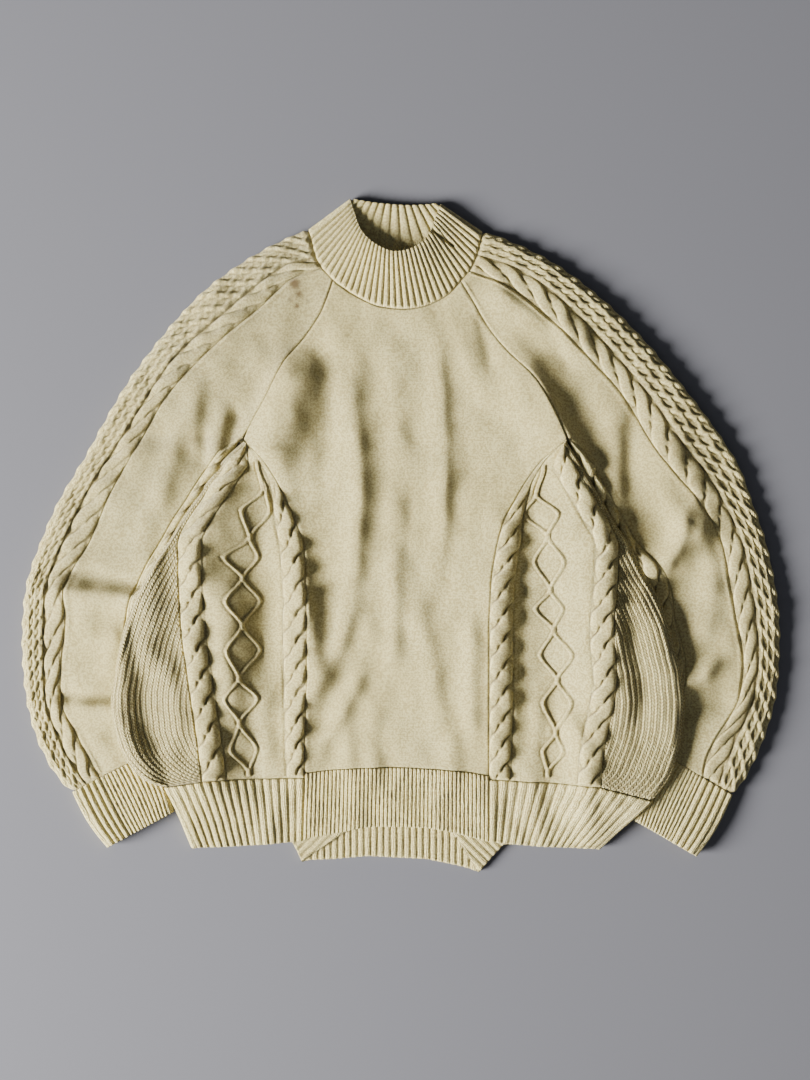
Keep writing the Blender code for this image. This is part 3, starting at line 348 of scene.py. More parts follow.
# The collar's seam on the front, left tip to right tip, and its seam on the back.
COLLAR_BASE = table("x y", [
    (308, 229), (316, 257), (322, 268), (333, 280), (345, 289), (360, 298), (375, 305), (390, 308),
    (405, 309), (420, 307), (435, 302), (450, 293), (461, 281), (470, 271), (477, 255), (483, 231)])
COLLAR_RIM = table("x y", [
    (350, 198), (355, 214), (361, 230), (371, 242), (386, 251), (398, 253), (411, 250), (422, 243),
    (431, 231), (436, 216), (441, 203)])
COLLAR_BACK_BASE = table("x y", [
    (308, 229), (316, 238), (333, 246), (352, 250), (395, 252), (440, 250), (461, 247), (476, 239),
    (483, 231)])
COLLAR_BACK_RIM = table("x y", [(350, 198), (360, 200), (380, 203), (410, 205), (441, 203)])

# Where the back's raglan seams and the sleeve bands' turned-under edges meet the back neck.
BACK_NECK = {"left": ((333.0, 246.0), (316.0, 238.0)), "right": ((461.0, 247.0), (476.0, 239.0))}
COLLAR_CREASE = (433.0, 232.0, 453.0, 246.0)

# The side hems' lower corners, at the princess seam and at the side. The cuffs' corners at the
# sleeve's outer edge and inner fold, and the share of the width that the wide ribs take.
HEM_CORNERS = {"left": ((303, 841), (192, 848)), "right": ((489, 842), (600, 849))}
CUFF_ENDS = {"left": ((108, 847), (173, 812), 0.36), "right": ((696, 856), (634, 820), 0.41)}

# The diamond lattice's two cords: leftmost and rightmost cord at each level, equal where they cross.
LATTICE_LEFT = table("y left right", [
    (466, 258, 258), (490, 263, 266), (511, 242, 270), (538, 250, 250), (557, 225, 258),
    (578, 243, 243), (601, 227, 260), (625, 243, 243), (650, 228, 260), (678, 240, 240),
    (698, 226, 258), (722, 240, 240), (749, 231, 257), (772, 249, 249)])
LATTICE_RIGHT = table("y left right", [
    (470, 543, 543), (495, 536, 536), (514, 523, 557), (536, 547, 547), (562, 534, 563),
    (590, 550, 550), (609, 535, 562), (630, 553, 553), (655, 540, 571), (680, 557, 557),
    (703, 543, 571), (733, 556, 556), (752, 543, 563), (773, 548, 548)])
LATTICE = {"left": LATTICE_LEFT, "right": LATTICE_RIGHT}

# Lines at which the body has risen fully onto the sleeves, and how far it has risen at each level.
LIFT_LINE = table("y left right", [
    (440, 228, 575), (500, 195, 603), (540, 174, 623), (560, 168, 633), (580, 168, 634),
    (620, 169, 642), (660, 168, 647), (700, 167, 648), (740, 164, 649), (776, 163, 650),
    (790, 168, 645), (820, 178, 632), (850, 196, 604)])
LIFT_SHARE = table("y left right", [
    (484, 0, 0), (500, 0.2, 0.2), (520, 0.65, 0.65), (542, 1, 1), (785, 1, 1), (806, 0.35, 1),
    (820, 0, 0.65), (846, 0, 0)])

# Folds, a row each: height, width to the right and left of the crest (below and above it where the
# crest runs across), and the crest's points from its start to its end.
SEAM_FOLDS = [
    (15.0, 27, 24, (299, 342), (293, 370), (289, 392), (283, 412), (273, 438), (258, 490)),
    (12.5, 19, 38, (498, 322), (516, 352), (540, 390), (560, 428), (582, 466), (604, 503), (622, 530)),
]
BODY_FOLDS = [
    (4.8, 17, 19, (336, 306), (346, 360), (352, 400), (357, 440), (358, 500), (355, 560), (344, 640)),
    (2.6, 9, 12, (352, 380), (358, 430), (360, 500), (357, 560), (350, 610)),
    (-2.6, 9, 11, (326, 330), (327, 380), (328, 430), (326, 500)),
    (1.6, 16, 12, (396, 310), (398, 420), (392, 520), (384, 640)),
    (-1.0, 7, 7, (412, 470), (411, 520), (406, 570)),
    (4.2, 9, 15, (434, 320), (441, 390), (444, 460), (443, 520), (436, 610)),
    (3.0, 12, 9, (462, 320), (466, 352), (474, 374), (496, 420)),
    (-2.4, 7, 7, (478, 300), (486, 340), (496, 384)),
    (7.0, 20, 32, (510, 450), (499, 520), (495, 590), (494, 650), (493, 770)),
    (5.2, 17, 22, (280, 486), (294, 530), (301, 570), (303, 620), (303, 690)),
    (5.0, 11, 10, (298, 560), (306, 600), (314, 640), (317, 675), (308, 730)),
    (3.6, 12, 16, (303, 640), (302, 720), (303, 800)),
    (4.4, 10, 12, (360, 580), (340, 646), (306, 720)),
    (3.8, 9, 10, (376, 650), (346, 702), (312, 768)),
    (2.8, 9, 9, (392, 520), (395, 600), (394, 680)),
    (3.6, 13, 16, (414, 580), (436, 690), (466, 800)),
    (3.0, 9, 10, (470, 590), (470, 670), (474, 770)),
    (1.8, 10, 12, (342, 680), (347, 742), (352, 800)),
    (1.6, 10, 12, (370, 675), (374, 740), (378, 800)),
    (7.6, 17, 12, (250, 430), (221, 490), (206, 530), (198, 570), (194, 620)),
    (3.6, 14, 12, (192, 600), (198, 690), (208, 800)),
    (5.4, 20, 15, (240, 556), (226, 600), (226, 640), (234, 690), (246, 760)),
    (3.0, 14, 12, (256, 660), (266, 720), (270, 790)),
    (-2.0, 8, 10, (262, 580), (266, 620), (264, 680)),
    (-2.4, 8, 8, (526, 510), (523, 580), (522, 680), (528, 780)),
    (-3.6, 14, 13, (560, 660), (554, 710), (550, 790)),
    (5.2, 16, 42, (584, 440), (600, 560), (604, 680), (596, 740)),
    (4.0, 9, 16, (560, 700), (580, 740), (590, 800)),
    (5.4, 12, 12, (124, 600), (124, 680), (122, 715), (133, 742), (147, 764), (164, 800)),
    (-2.0, 9, 9, (146, 660), (144, 720), (164, 760), (182, 806)),
    (4.2, 14, 14, (160, 530), (150, 590), (150, 640), (164, 700)),
    (3.2, 10, 14, (166, 640), (176, 700), (188, 760)),
    (4.0, 14, 10, (598, 550), (612, 610), (622, 670), (628, 740)),
    (-2.6, 9, 9, (614, 580), (628, 632), (640, 690), (640, 760)),
    (5.4, 13, 22, (634, 570), (662, 640), (672, 700), (664, 790)),
    (1.6, 60, 60, (400, 400), (401, 550), (402, 760)),
    (1.2, 9, 11, (214, 765), (218, 812), (222, 870)),
    (1.2, 10, 12, (276, 760), (272, 808), (268, 870)),
    (1.2, 9, 11, (534, 760), (538, 810), (540, 870)),
    (1.2, 9, 10, (592, 770), (588, 812), (580, 870)),
    (1.0, 14, 14, (352, 750), (350, 800), (352, 860)),
    (1.0, 14, 14, (436, 750), (440, 800), (438, 860)),
]
SLEEVE_FOLDS = [
    (3.2, 40, 40, (300, 268), (240, 320), (180, 390), (130, 470), (98, 560)),
    (3.0, 34, 34, (85, 560), (84, 640), (88, 720), (110, 780)),
    (-3.0, 7, 8, (238, 404), (230, 432), (222, 462)),
    (4.6, 8, 12, (230, 396), (222, 436), (212, 480)),
    (-2.4, 6, 6, (204, 424), (205, 448), (202, 476)),
    (3.6, 9, 12, (204, 366), (196, 410), (192, 460)),
    (3.0, 10, 12, (184, 400), (172, 460), (158, 520)),
    (3.0, 14, 14, (172, 450), (152, 520), (136, 600)),
    (1.8, 10, 12, (150, 430), (136, 480), (120, 530)),
    (-3.0, 7, 7, (34, 570), (84, 573), (112, 580), (170, 592)),
    (6.4, 8, 15, (20, 592), (80, 592), (116, 596), (180, 606)),
    (-2.2, 6, 6, (30, 692), (84, 696), (120, 698), (170, 702)),
    (5.0, 7, 14, (20, 708), (80, 706), (120, 708), (174, 714)),
    (2.4, 10, 12, (118, 620), (112, 660), (104, 690)),
    (2.4, 10, 11, (96, 725), (104, 750), (120, 780)),
    (3.2, 40, 40, (500, 268), (560, 312), (620, 370), (670, 430), (705, 520)),
    (3.0, 34, 34, (715, 540), (722, 620), (718, 700), (696, 780)),
    (4.6, 10, 14, (474, 268), (508, 300), (536, 322), (566, 348), (590, 372)),
    (-2.8, 8, 8, (540, 316), (556, 342), (572, 380)),
    (3.6, 12, 14, (552, 318), (578, 342), (600, 376)),
    (-3.0, 14, 12, (530, 350), (560, 396), (582, 440), (608, 492), (622, 530)),
    (3.6, 13, 15, (598, 384), (610, 424), (616, 460), (619, 496), (622, 526)),
    (-3.0, 9, 9, (636, 388), (630, 440), (630, 490), (634, 540)),
    (5.2, 28, 20, (646, 426), (654, 470), (670, 502), (684, 530)),
    (5.5, 8, 11, (686, 506), (679, 534), (669, 558), (660, 584)),
    (2.6, 9, 10, (716, 474), (690, 508), (660, 548)),
    (2.6, 13, 18, (652, 492), (680, 516), (702, 548)),
    (2.6, 12, 16, (654, 420), (682, 480), (698, 520), (708, 560), (712, 620)),
    (9.5, 15, 13, (606, 586), (640, 568), (676, 552), (700, 530), (714, 496)),
    (-3.0, 9, 9, (644, 596), (682, 580), (716, 556)),
    (3.4, 12, 14, (712, 570), (708, 610), (704, 650)),
    (8.0, 12, 11, (636, 700), (668, 690), (700, 674), (724, 650)),
    (-2.6, 9, 9, (668, 716), (700, 708), (740, 702)),
    (4.0, 9, 12, (752, 690), (722, 724), (696, 760)),
]
BACK_FOLDS = [
    (1.6, 14, 14, (330, 290), (344, 400), (350, 560), (344, 700)),
    (1.6, 12, 12, (440, 300), (446, 420), (452, 600), (470, 760)),
    (1.4, 10, 10, (280, 480), (300, 600), (330, 740)),
    (1.4, 10, 10, (540, 480), (520, 600), (500, 730)),
    (1.5, 8, 8, (200, 350), (170, 420), (130, 500)),
    (1.5, 7, 7, (60, 590), (100, 594), (150, 586)),
    (1.5, 7, 7, (60, 702), (100, 698), (140, 704)),
    (1.5, 8, 8, (590, 360), (640, 440), (670, 520)),
    (1.6, 7, 7, (640, 560), (690, 556), (740, 546)),
    (1.6, 7, 7, (670, 684), (710, 680), (760, 690)),
]


# Curves and grids


def smooth(t):
    t = np.clip(t, 0.0, 1.0)
    return t * t * (3.0 - 2.0 * t)


def mix(a, b, f):
    return a + (b - a) * f


def bell(distance, width):
    """A soft ridge, 1 at no distance."""
    return np.exp(-(distance / width) ** 2)


def dome(d, power):
    """A round crown, 1 at no distance and 0 from a distance of 1."""
    return np.clip(1.0 - d ** 2, 0.0, 1.0) ** power


def unit(v):
    return v / np.maximum(np.linalg.norm(v, axis=-1, keepdims=True), 1e-9)


def toward(a, b, distance):
    """Points moved from a toward b by a distance."""
    return a + unit(b - a) * distance


def lengths(line):
    steps = np.linalg.norm(np.diff(line, axis=0), axis=1)
    return np.concatenate([[0.0], np.cumsum(steps)])


def along(line, index):
    """Points of a polyline at row indices that may be fractions."""
    rows = np.arange(len(line))
    return np.column_stack([np.interp(index, rows, line[:, k]) for k in range(line.shape[1])])


def column(data, name=""):
    """A table's x and y columns as points."""
    return np.column_stack([data[name + "x"], data[name + "y"]])


def spline(points, per_span):
    """A smooth curve through the points, per_span steps to each span."""
    pts = np.asarray(points, dtype=float)
    padded = np.vstack([2 * pts[0] - pts[1], pts, 2 * pts[-1] - pts[-2]])
    t = (np.arange(per_span) / per_span)[:, None]
    out = []
    for i in range(len(pts) - 1):
        a, b, c, d = padded[i:i + 4]
        out.append(0.5 * (2 * b + (c - a) * t + (2 * a - 5 * b + 4 * c - d) * t * t
                          + (3 * b - a - 3 * c + d) * t ** 3))
    return np.vstack(out + [pts[-1:]])


def kinked(points, bend, per_span):
    """A curve that is smooth but for a kink at one row."""
    first, second = points[:bend + 1], points[bend:]
    return np.vstack([spline(first, per_span)[:-1], spline(second, per_span)])


def curve(data):
    """A table's x and y as a fine smooth curve."""
    return spline(column(data), CURVE_ROWS)


def at_share(line, share):
    """Points at shares of a line's length."""
    s = lengths(line)
    return along(line, np.interp(np.asarray(share) * s[-1], s, np.arange(len(s))))


def stations(total, step, start=SEAM_GAP / 2, stop=SEAM_GAP / 2):
    """Distances along a length, closer together where the cloth rounds down to its seams."""
    edge = SEAM_ROUND * ROUNDING
    count = max(3, int(round((total - 2 * SEAM_ROUND) / step)))
    middle = np.linspace(start + SEAM_ROUND, total - stop - SEAM_ROUND, count)
    return np.concatenate([start + edge, middle, total - stop - edge[::-1]])


def spread(width, step, near=True, far=True):
    """Distances across a strip whose width changes by row, closer together at the seams."""
    widest = width.max()
    edge = ROUNDING if widest > NARROW else ROUNDING_NARROW
    reach = np.minimum(SEAM_ROUND, ROUND_SHARE * width)
    count = max(3, int(round(widest / step)))
    gap = np.minimum(SEAM_GAP / 2, GAP_SHARE * width)
    first = gap + reach if near else 0.0 * width
    last = width - gap - reach if far else width
    rows = [gap + reach * e for e in edge] if near else []
    rows += [mix(first, last, k / count) for k in range(count + 1)]
    rows += [width - gap - reach * e for e in edge[::-1]] if far else []
    return np.array(rows)


def shifted(a, b, distances):
    """A plan grid at distances from line a toward line b."""
    return a[None] + unit(b - a)[None] * distances[:, :, None]


def between(a, b, step, near=True, far=True):
    """A plan grid from line a to line b, near and far telling which of them are seams."""
    return shifted(a, b, spread(np.linalg.norm(b - a, axis=1), step, near, far))


def ruled(a, b, t):
    """A plan grid from line a to line b at shares t."""
    return mix(a[:, None], b[:, None], t[None, :, None])


def over_x(line, x):
    """The points of a line at the given x."""
    return np.column_stack([x, np.interp(x, line[:, 0], line[:, 1])])


class Strip:
    """Cloth between two lines that share their rows, at stations along it."""

    def __init__(self, left, right, step, start=SEAM_GAP / 2, stop=SEAM_GAP / 2):
        length = lengths(0.5 * (left + right))
        self.total = length[-1]
        self.s = stations(self.total, step, start, stop)
        self.rows = np.interp(self.s, length, np.arange(len(length)))
        self.left, self.right = self.on(left), self.on(right)
        self.width = np.linalg.norm(self.right - self.left, axis=1)

    def on(self, line):
        return along(line, self.rows)

    def grid(self, step):
        """Distances from the left line, and the plan grid at them."""
        distances = spread(self.width, step)
        return distances, shifted(self.left, self.right, distances)

    def ends(self, reach=5.0):
        """Shares that sink raised stitches at the strip's ends, and the cloth's own rounding there."""
        nearest = np.minimum(self.s, self.total - self.s)
        return smooth(nearest / reach)[None], seam_dip(nearest)[None]


def lay(plan, top):
    """A plan grid raised to a surface."""
    return np.dstack([plan, top(plan[..., 0], plan[..., 1])])


def fold(tip, over, under, top, low, angles, reach=FOLD_REACH):
    """Rows of points round a folded edge, from one side of the cloth to the other."""
    reach = np.broadcast_to(reach, (len(tip),))[:, None]
    to_over, to_under = unit(over - tip), unit(under - tip)
    high_z, low_z = top(tip[:, 0], tip[:, 1]), low(tip[:, 0], tip[:, 1])
    grid = []
    for angle in np.radians(angles):
        plan = tip + (to_over if angle >= 0 else to_under) * reach * (1 - cos(angle))
        z = 0.5 * (high_z + low_z) + 0.5 * (high_z - low_z) * sin(angle)
        grid.append(np.column_stack([plan, z]))
    return np.array(grid)


def across(grid):
    """Distance across a grid, from its first column, along its surface."""
    steps = np.linalg.norm(np.diff(grid, axis=0), axis=2)
    return np.concatenate([np.zeros((1, grid.shape[1])), np.cumsum(steps, axis=0)])


def seam_dip(distance):
    """How far the cloth rounds down at a distance from a seam."""
    near = np.clip(1.0 - distance / SEAM_ROUND, 0.0, 1.0)
    return -SEAM_DROP * (1.0 - np.sqrt(1.0 - near * near))


def hem_ends(t, length, at_free=HEM_FREE_ROUND):
    """A hem's ribs run on to its ends, and the cloth rounds down less at the free edge."""
    return 1.0, seam_dip(t * length)[None] + at_free * seam_dip((1 - t) * length)[None]


# Raised stitches: heights over the plain cloth


def rope(t, s, width, pitch, rise, turn, over_by):
    """Two strands that swing by turns over one another, t from 0 at the right border to 1 across.

    Gives the height, and coordinates across and along the strand that lies on top."""
    x = (0.5 - t) * width
    height = np.zeros(np.broadcast(x, s).shape)
    u, v = x / WALE + 0.0 * height, s / COURSE + 0.0 * height
    groove = 0.0 * height
    for start in (0.0, pi):
        swing, over = np.cos(pi * s / pitch + start), np.sin(pi * s / pitch + start)
        eased = np.tanh(turn * swing)
        centre = STRAND_SWING * width * eased / np.tanh(turn)
        slope = STRAND_SWING * width * turn * (1.0 - eased * eased) / np.tanh(turn) * over * pi / pitch
        off = (x - centre) / np.hypot(1.0, slope)
        d = np.abs(off) / (STRAND_HALF * width)
        high = np.where(d < 1.0, (1.0 - over_by) * dome(d, 0.5) + over_by * over, 0.0)
        u = np.where(high > height, off / WALE, u)
        height = np.maximum(high, height)
        groove = np.maximum(groove, bell(d - 1.0, STRAND_GROOVE_WIDTH) * smooth(over / 0.4))
    uneven = 1.0 + ROPE_UNEVEN * np.sin(2.4 * np.floor(s / pitch) + width)
    border = smooth(np.minimum(t, 1.0 - t) / ROPE_BORDER)
    return rise * uneven * border * np.maximum(height - STRAND_GROOVE * groove, 0.0), u, v


def links(t, s):
    """Four strands of a linked cable that part and touch by turns, each over its neighbour once."""
    wave = np.tanh(LINK_TURN * np.sin(tau * s / LINK_PITCH)) / np.tanh(LINK_TURN)
    height = np.full(np.broadcast(t, s).shape, LINK_GROUND)
    groove = 0.0 * height
    for k, centre in enumerate(LINK_CENTRES):
        side = 1.0 - 2.0 * (k % 2)
        d = (t - centre + side * LINK_SWING * wave) / LINK_HALF
        over = 0.82 + 0.18 * side * np.cos(tau * s / LINK_PITCH + 0.6)
        height = np.maximum(height, over * dome(d, 0.4))
        groove = np.maximum(groove, bell(np.abs(d) - 1.1, 0.22) * smooth((over - 0.7) / 0.2))
    return LINK_RISE * np.maximum(height - LINK_GROOVE * groove, 0.0)


def ribs(r, kind):
    """Round ribs with tight furrows, one to each unit of r."""
    depth, power = RIB[kind]
    return depth * (1.0 - np.abs(2.0 * (r - np.floor(r)) - 1.0) ** power)


def cord(x, y, line, levels):
    """A raised cord that goes from level to level of the lattice, with a furrow on either side."""
    k = np.clip(np.searchsorted(levels, y) - 1, 0, len(levels) - 2)
    across_by, down_by = line[k + 1] - line[k], levels[k + 1] - levels[k]
    t = np.clip((y - levels[k]) / down_by, 0.0, 1.0)
    at = mix(line[k], line[k + 1], mix(t, smooth(t), CORD_EASE))
    d = np.abs(x - at) * np.cos(np.arctan2(np.abs(across_by), down_by))
    live = (y > levels[0] - CORD_RUNS_ON) & (y < levels[-1] + CORD_RUNS_ON)
    crest = dome(d / CORD_FOOT, 0.8)
    return live * (CORD_RISE * crest - CORD_FURROW * bell(d - CORD_HALF - 1.2, 0.9))


def folded(folds, x, y):
    """The height of all the folds of a list at places in plan."""
    total = np.zeros_like(x)
    for height, right, left, *line in folds:
        line = np.array(line, dtype=float)
        run_to = lengths(line)
        nearest = np.full(x.shape, 1e9)
        side = np.ones_like(x)
        run = np.zeros_like(x)
        for i, (ax, ay) in enumerate(line[:-1]):
            step = line[i + 1] - line[i]
            t = np.clip(((x - ax) * step[0] + (y - ay) * step[1]) / (step @ step), 0.0, 1.0)
            dx, dy = x - ax - t * step[0], y - ay - t * step[1]
            d = np.hypot(dx, dy)
            closer = d < nearest
            nearest = np.where(closer, d, nearest)
            side = np.where(closer, step[0] * dy - step[1] * dx, side)
            run = np.where(closer, run_to[i] + t * (run_to[i + 1] - run_to[i]), run)
        fades = FOLD_TAPER * run_to[-1]
        taper = smooth(run / fades) * smooth((run_to[-1] - run) / fades)
        total += height * taper * bell(nearest, np.where(side > 0, left, right))
    return total


def crumple(x, y):
    """Small soft unevenness that worn cotton knit keeps wherever it lies."""
    total = np.zeros_like(x)
    for size, angle, shift in CRUMPLES:
        a = radians(angle)
        long, wide = x * cos(a) + y * sin(a), y * cos(a) - x * sin(a)
        bend = CRUMPLE_BEND * np.sin(tau * long / (CRUMPLE_RUN * size) + shift)
        total += size * CRUMPLE_SLOPE * np.sin(tau * wide / size + bend)
    return total


def body_lift(x, y, further_in=0.0, ramp=LIFT_RAMP):
    """Height of the body's underside: nothing in the middle, lying on the sleeves at the sides."""
    left_line, left_share, right_line, right_share = (
        np.interp(y, data["y"], data[side]) for side in SIDES for data in (LIFT_LINE, LIFT_SHARE))
    left = smooth((left_line + further_in + ramp - x) / ramp) * left_share
    right = smooth((x - (right_line - further_in) + ramp) / ramp) * right_share
    return BODY_LIFT * (left + right)


def body_low(x, y):
    """The back of the body, which lifts a little into the garment along its own folds."""
    return body_lift(x, y) + folded(BACK_FOLDS, x, y)


def body_top(x, y):
    raised_by = STACK + folded(SEAM_FOLDS + BODY_FOLDS, x, y) + crumple(x, y)
    return body_lift(x, y, SWELL_IN, SWELL_RAMP) + above(raised_by)


def sleeve_low(x, y):
    return folded(BACK_FOLDS, x, y)


def sleeve_top(x, y):
    return above(STACK + folded(SEAM_FOLDS + SLEEVE_FOLDS, x, y) + crumple(x, y))


def above(height):
    """A front's height, eased where a hollow would sink it into the back."""
    return LEAST_STACK + 0.5 * (height - LEAST_STACK + np.hypot(height - LEAST_STACK, 1.0))


# Edges

RAGLAN_END = 2 * RAGLAN_ROWS * SUB


def sleeve_edges(data, back_top, neck_under):
    """The sleeve's long lines, fine, with a kink at the underarm where the raglan seam ends."""
    lines = {name: spline(column(data, name + "_"), 2)
             for name in ("outer", "cable", "rope", "seam", "inner")}
    outer, inner = lines["outer"], lines["inner"]
    end = 2 * RAGLAN_ROWS
    rows = np.arange(len(outer))
    below = (rows > end)[:, None]
    share = np.clip(rows / end, 0, 1)[:, None]
    raglan = mix(np.array(back_top), inner[end] + (0.0, 1.0), share)
    bow = np.sin(pi * share) * RAGLAN_BOW * unit(outer - inner)
    gap = np.linalg.norm(lines["seam"] - inner, axis=1)[:, None]
    lines["seam"] = np.where(below, toward(inner, lines["seam"], np.maximum(gap, FOLD_MIN)), inner)
    under_reach = np.maximum(UNDERARM_UNDER * smooth((rows - end) / 4.0), FOLD_MIN)[:, None]
    lines["back"] = np.where(below, toward(inner, outer, under_reach), raglan + bow)
    band_reach = mix(BAND_UNDER_NECK, BAND_UNDER, smooth(rows / 6.0))[:, None]
    lines["under"] = toward(outer, lines["back"], band_reach)
    lines["under"][0] = neck_under
    lines["tip"] = toward(outer, lines["cable"], BAND_TIP_IN)
    return {name: kinked(line, end, SUB) for name, line in lines.items()}


def body_edges(data, apex):
    """Side fold, gusset seam, princess seam and the gusset's seam on the back, from the underarm."""
    lines = {name: column(data, name + "_") for name in ("side", "gusset", "princess")}
    rows = np.arange(len(lines["side"]))
    reach = mix(GUSSET_UNDER_TOP, GUSSET_UNDER, smooth(rows / 4.0))[:, None]
    lines["under"] = toward(lines["side"], lines["princess"], reach)
    return {name: spline(np.vstack([mix(line[0], np.array(apex), 0.9), line]), 2 * SUB)
            for name, line in lines.items()}


# Pieces of cloth


def normals(grid, top, ring=False):
    """The cloth's normals, turned so that the row at top faces up."""
    du = np.roll(grid, -1, axis=0) - np.roll(grid, 1, axis=0) if ring else np.gradient(grid, axis=0)
    n = unit(np.cross(du, np.gradient(grid, axis=1)))
    return n if n[top, :, 2].mean() > 0 else -n


def showing(n):
    """Share of the stitches' height that is kept: none where the cloth is turned under."""
    return smooth((n[..., 2] + 0.65) / 0.6)


def raised(base, n, height):
    """A base moved out along its normals, but never below the surface that it lies on."""
    outer = base + n * height[..., None]
    outer[..., 2] = np.maximum(outer[..., 2], 0.0)
    return outer


def kept(count, step):
    return sorted(set(range(0, count, step)) | {count - 1})


def coarser(grid, across_step, along_step):
    return grid[kept(grid.shape[0], across_step)][:, kept(grid.shape[1], along_step)]


def inside(grid, least):
    """An inner side, kept clear of the outer one where both turn flat under."""
    grid[..., 2] = np.maximum(grid[..., 2], least)
    return grid


def zip_strip(verts, faces, a, b):
    """Triangles between two lines of vertices, always across the shorter diagonal."""
    i, j = 0, 0
    pa, pb = verts[a], verts[b]
    while i < len(a) - 1 or j < len(b) - 1:
        step_a = np.sum((pa[i + 1] - pb[j]) ** 2) if i < len(a) - 1 else np.inf
        step_b = np.sum((pa[i] - pb[j + 1]) ** 2) if j < len(b) - 1 else np.inf
        if step_a <= step_b:
            faces.append((int(a[i]), int(a[i + 1]), int(b[j])))
            i += 1
        else:
            faces.append((int(a[i]), int(b[j + 1]), int(b[j])))
            j += 1


def furrows(height):
    """How deep each point lies between the ones round it, from 0 to 1 for a deep furrow; this masks the
    shade painted into the yarn's colour in creases.
    """
    h = np.pad(height, 2, mode="edge")
    near = h[1:-3, 2:-2] + h[3:-1, 2:-2] + h[2:-2, 1:-3] + h[2:-2, 3:-1]
    far = h[:-4, 2:-2] + h[4:, 2:-2] + h[2:-2, :-4] + h[2:-2, 4:]
    return np.clip((0.125 * (near + far) - height) / FURROW_DEPTH, 0.0, 1.0)


def cloth(node, look, outer, inner, uv, ring=False, height=None):
    """The object for one piece of cloth: a closed wall between an outer and an inner grid."""
    verts, quads, borders, start = [], [], [], 0
    for grid in (outer, inner):
        ids = start + np.arange(grid.shape[0] * grid.shape[1]).reshape(grid.shape[:2])
        if ring:
            ids = np.vstack([ids, ids[:1]])
        quad = np.stack([ids[:-1, :-1], ids[1:, :-1], ids[1:, 1:], ids[:-1, 1:]], axis=-1)
        quads.append(quad.reshape(-1, 4))
        verts.append(grid.reshape(-1, 3))
        borders.append(ids)
        start = ids.max() + 1
    verts = np.vstack(verts)
    faces = np.vstack(quads).tolist()
    for end in (0, -1):
        zip_strip(verts, faces, borders[0][:, end], borders[1][:, end])
        if not ring:
            zip_strip(verts, faces, borders[0][end], borders[1][end])
    world = np.column_stack([verts[:, 0] - CENTRE_X, CENTRE_Y - verts[:, 1], verts[:, 2]]) * MM
    mesh = bpy.data.meshes.new("knit_" + node)
    mesh.from_pydata(world.tolist(), [], faces)
    bm = bmesh.new()
    bm.from_mesh(mesh)
    bmesh.ops.recalc_face_normals(bm, faces=bm.faces)
    bm.to_mesh(mesh)
    bm.free()
    mesh.shade_smooth()
    loop_verts = np.empty(len(mesh.loops), dtype=np.int32)
    mesh.loops.foreach_get("vertex_index", loop_verts)
    inner_uv = inner[..., :2] / (WALE, COURSE)
    coords = np.vstack([uv.reshape(-1, 2), inner_uv.reshape(-1, 2)]).astype(np.float32)
    mesh.uv_layers.new(name="knit").uv.foreach_set("vector", coords[loop_verts].ravel())
    # How deep each point lies in a crease, kept as the attribute furrow, which masks painted shade in the
    # yarn's colour
    deep = np.zeros(len(verts), dtype=np.float32)
    if height is not None:
        deep[:height.size] = furrows(height).ravel()
    mesh.attributes.new("furrow", "FLOAT", "POINT").data.foreach_set("value", deep)
    mesh.materials.append(looks[look])
    obj = bpy.data.objects.new("knit_" + node, mesh)
    bpy.context.scene.collection.objects.link(obj)
    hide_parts(node)
    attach(obj, "root")


def wrapped(node, look, base, relief, uv, ends, to_seams, top=-1):
    """A piece whose stitches stand out from its base along the cloth's own normals."""
    fade, dip = ends
    n = normals(base, top)
    height = relief * showing(n) * fade + (dip + seam_dip(to_seams))
    inner = inside(coarser(base - n * WALL, 5, 5), INSIDE_LEAST)
    cloth(node, look, raised(base, n, height), inner, uv, height=height)


def plain_under(node, plan, low, uv):
    """A plain piece that lies face down, its wall rising into the garment."""
    outer = lay(plan, low)
    cloth(node, "plain", outer, coarser(outer, 2, 2) + (0.0, 0.0, WALL), uv)


def pair(u, v):
    return np.stack(np.broadcast_arrays(u, v), axis=-1)


def stitches(x, y):
    """Counts of stitches across and along the cloth for distances on it."""
    return pair(x / WALE, y / COURSE)


def welt(distance, at, rise):
    """A fine raised line at a distance from a seam."""
    return rise * bell(distance - at, WELT_WIDTH)


def from_right(side, t):
    """A share across a strip, counted from the right border of the strip as it shows."""
    t = np.clip(t, 0.0, 1.0)
    return t if side == "right" else 1.0 - t


def rolled(tip, over, under, top, low):
    """A piece's turned-under part, its rolled edge, and the line where its front begins."""
    turned = between(under, toward(tip, under, FOLD_REACH), UNDER_STEP, far=False)[:-1]
    arc = fold(tip, over, under, top, low, np.linspace(-90, 90, FOLD_ROWS))
    return lay(turned, low), arc, toward(tip, over, FOLD_REACH)


def to_borders(w):
    """Distance to the nearer of a piece's two long seams, from distances across it."""
    return np.minimum(w, w[-1] - w)


# Sleeves


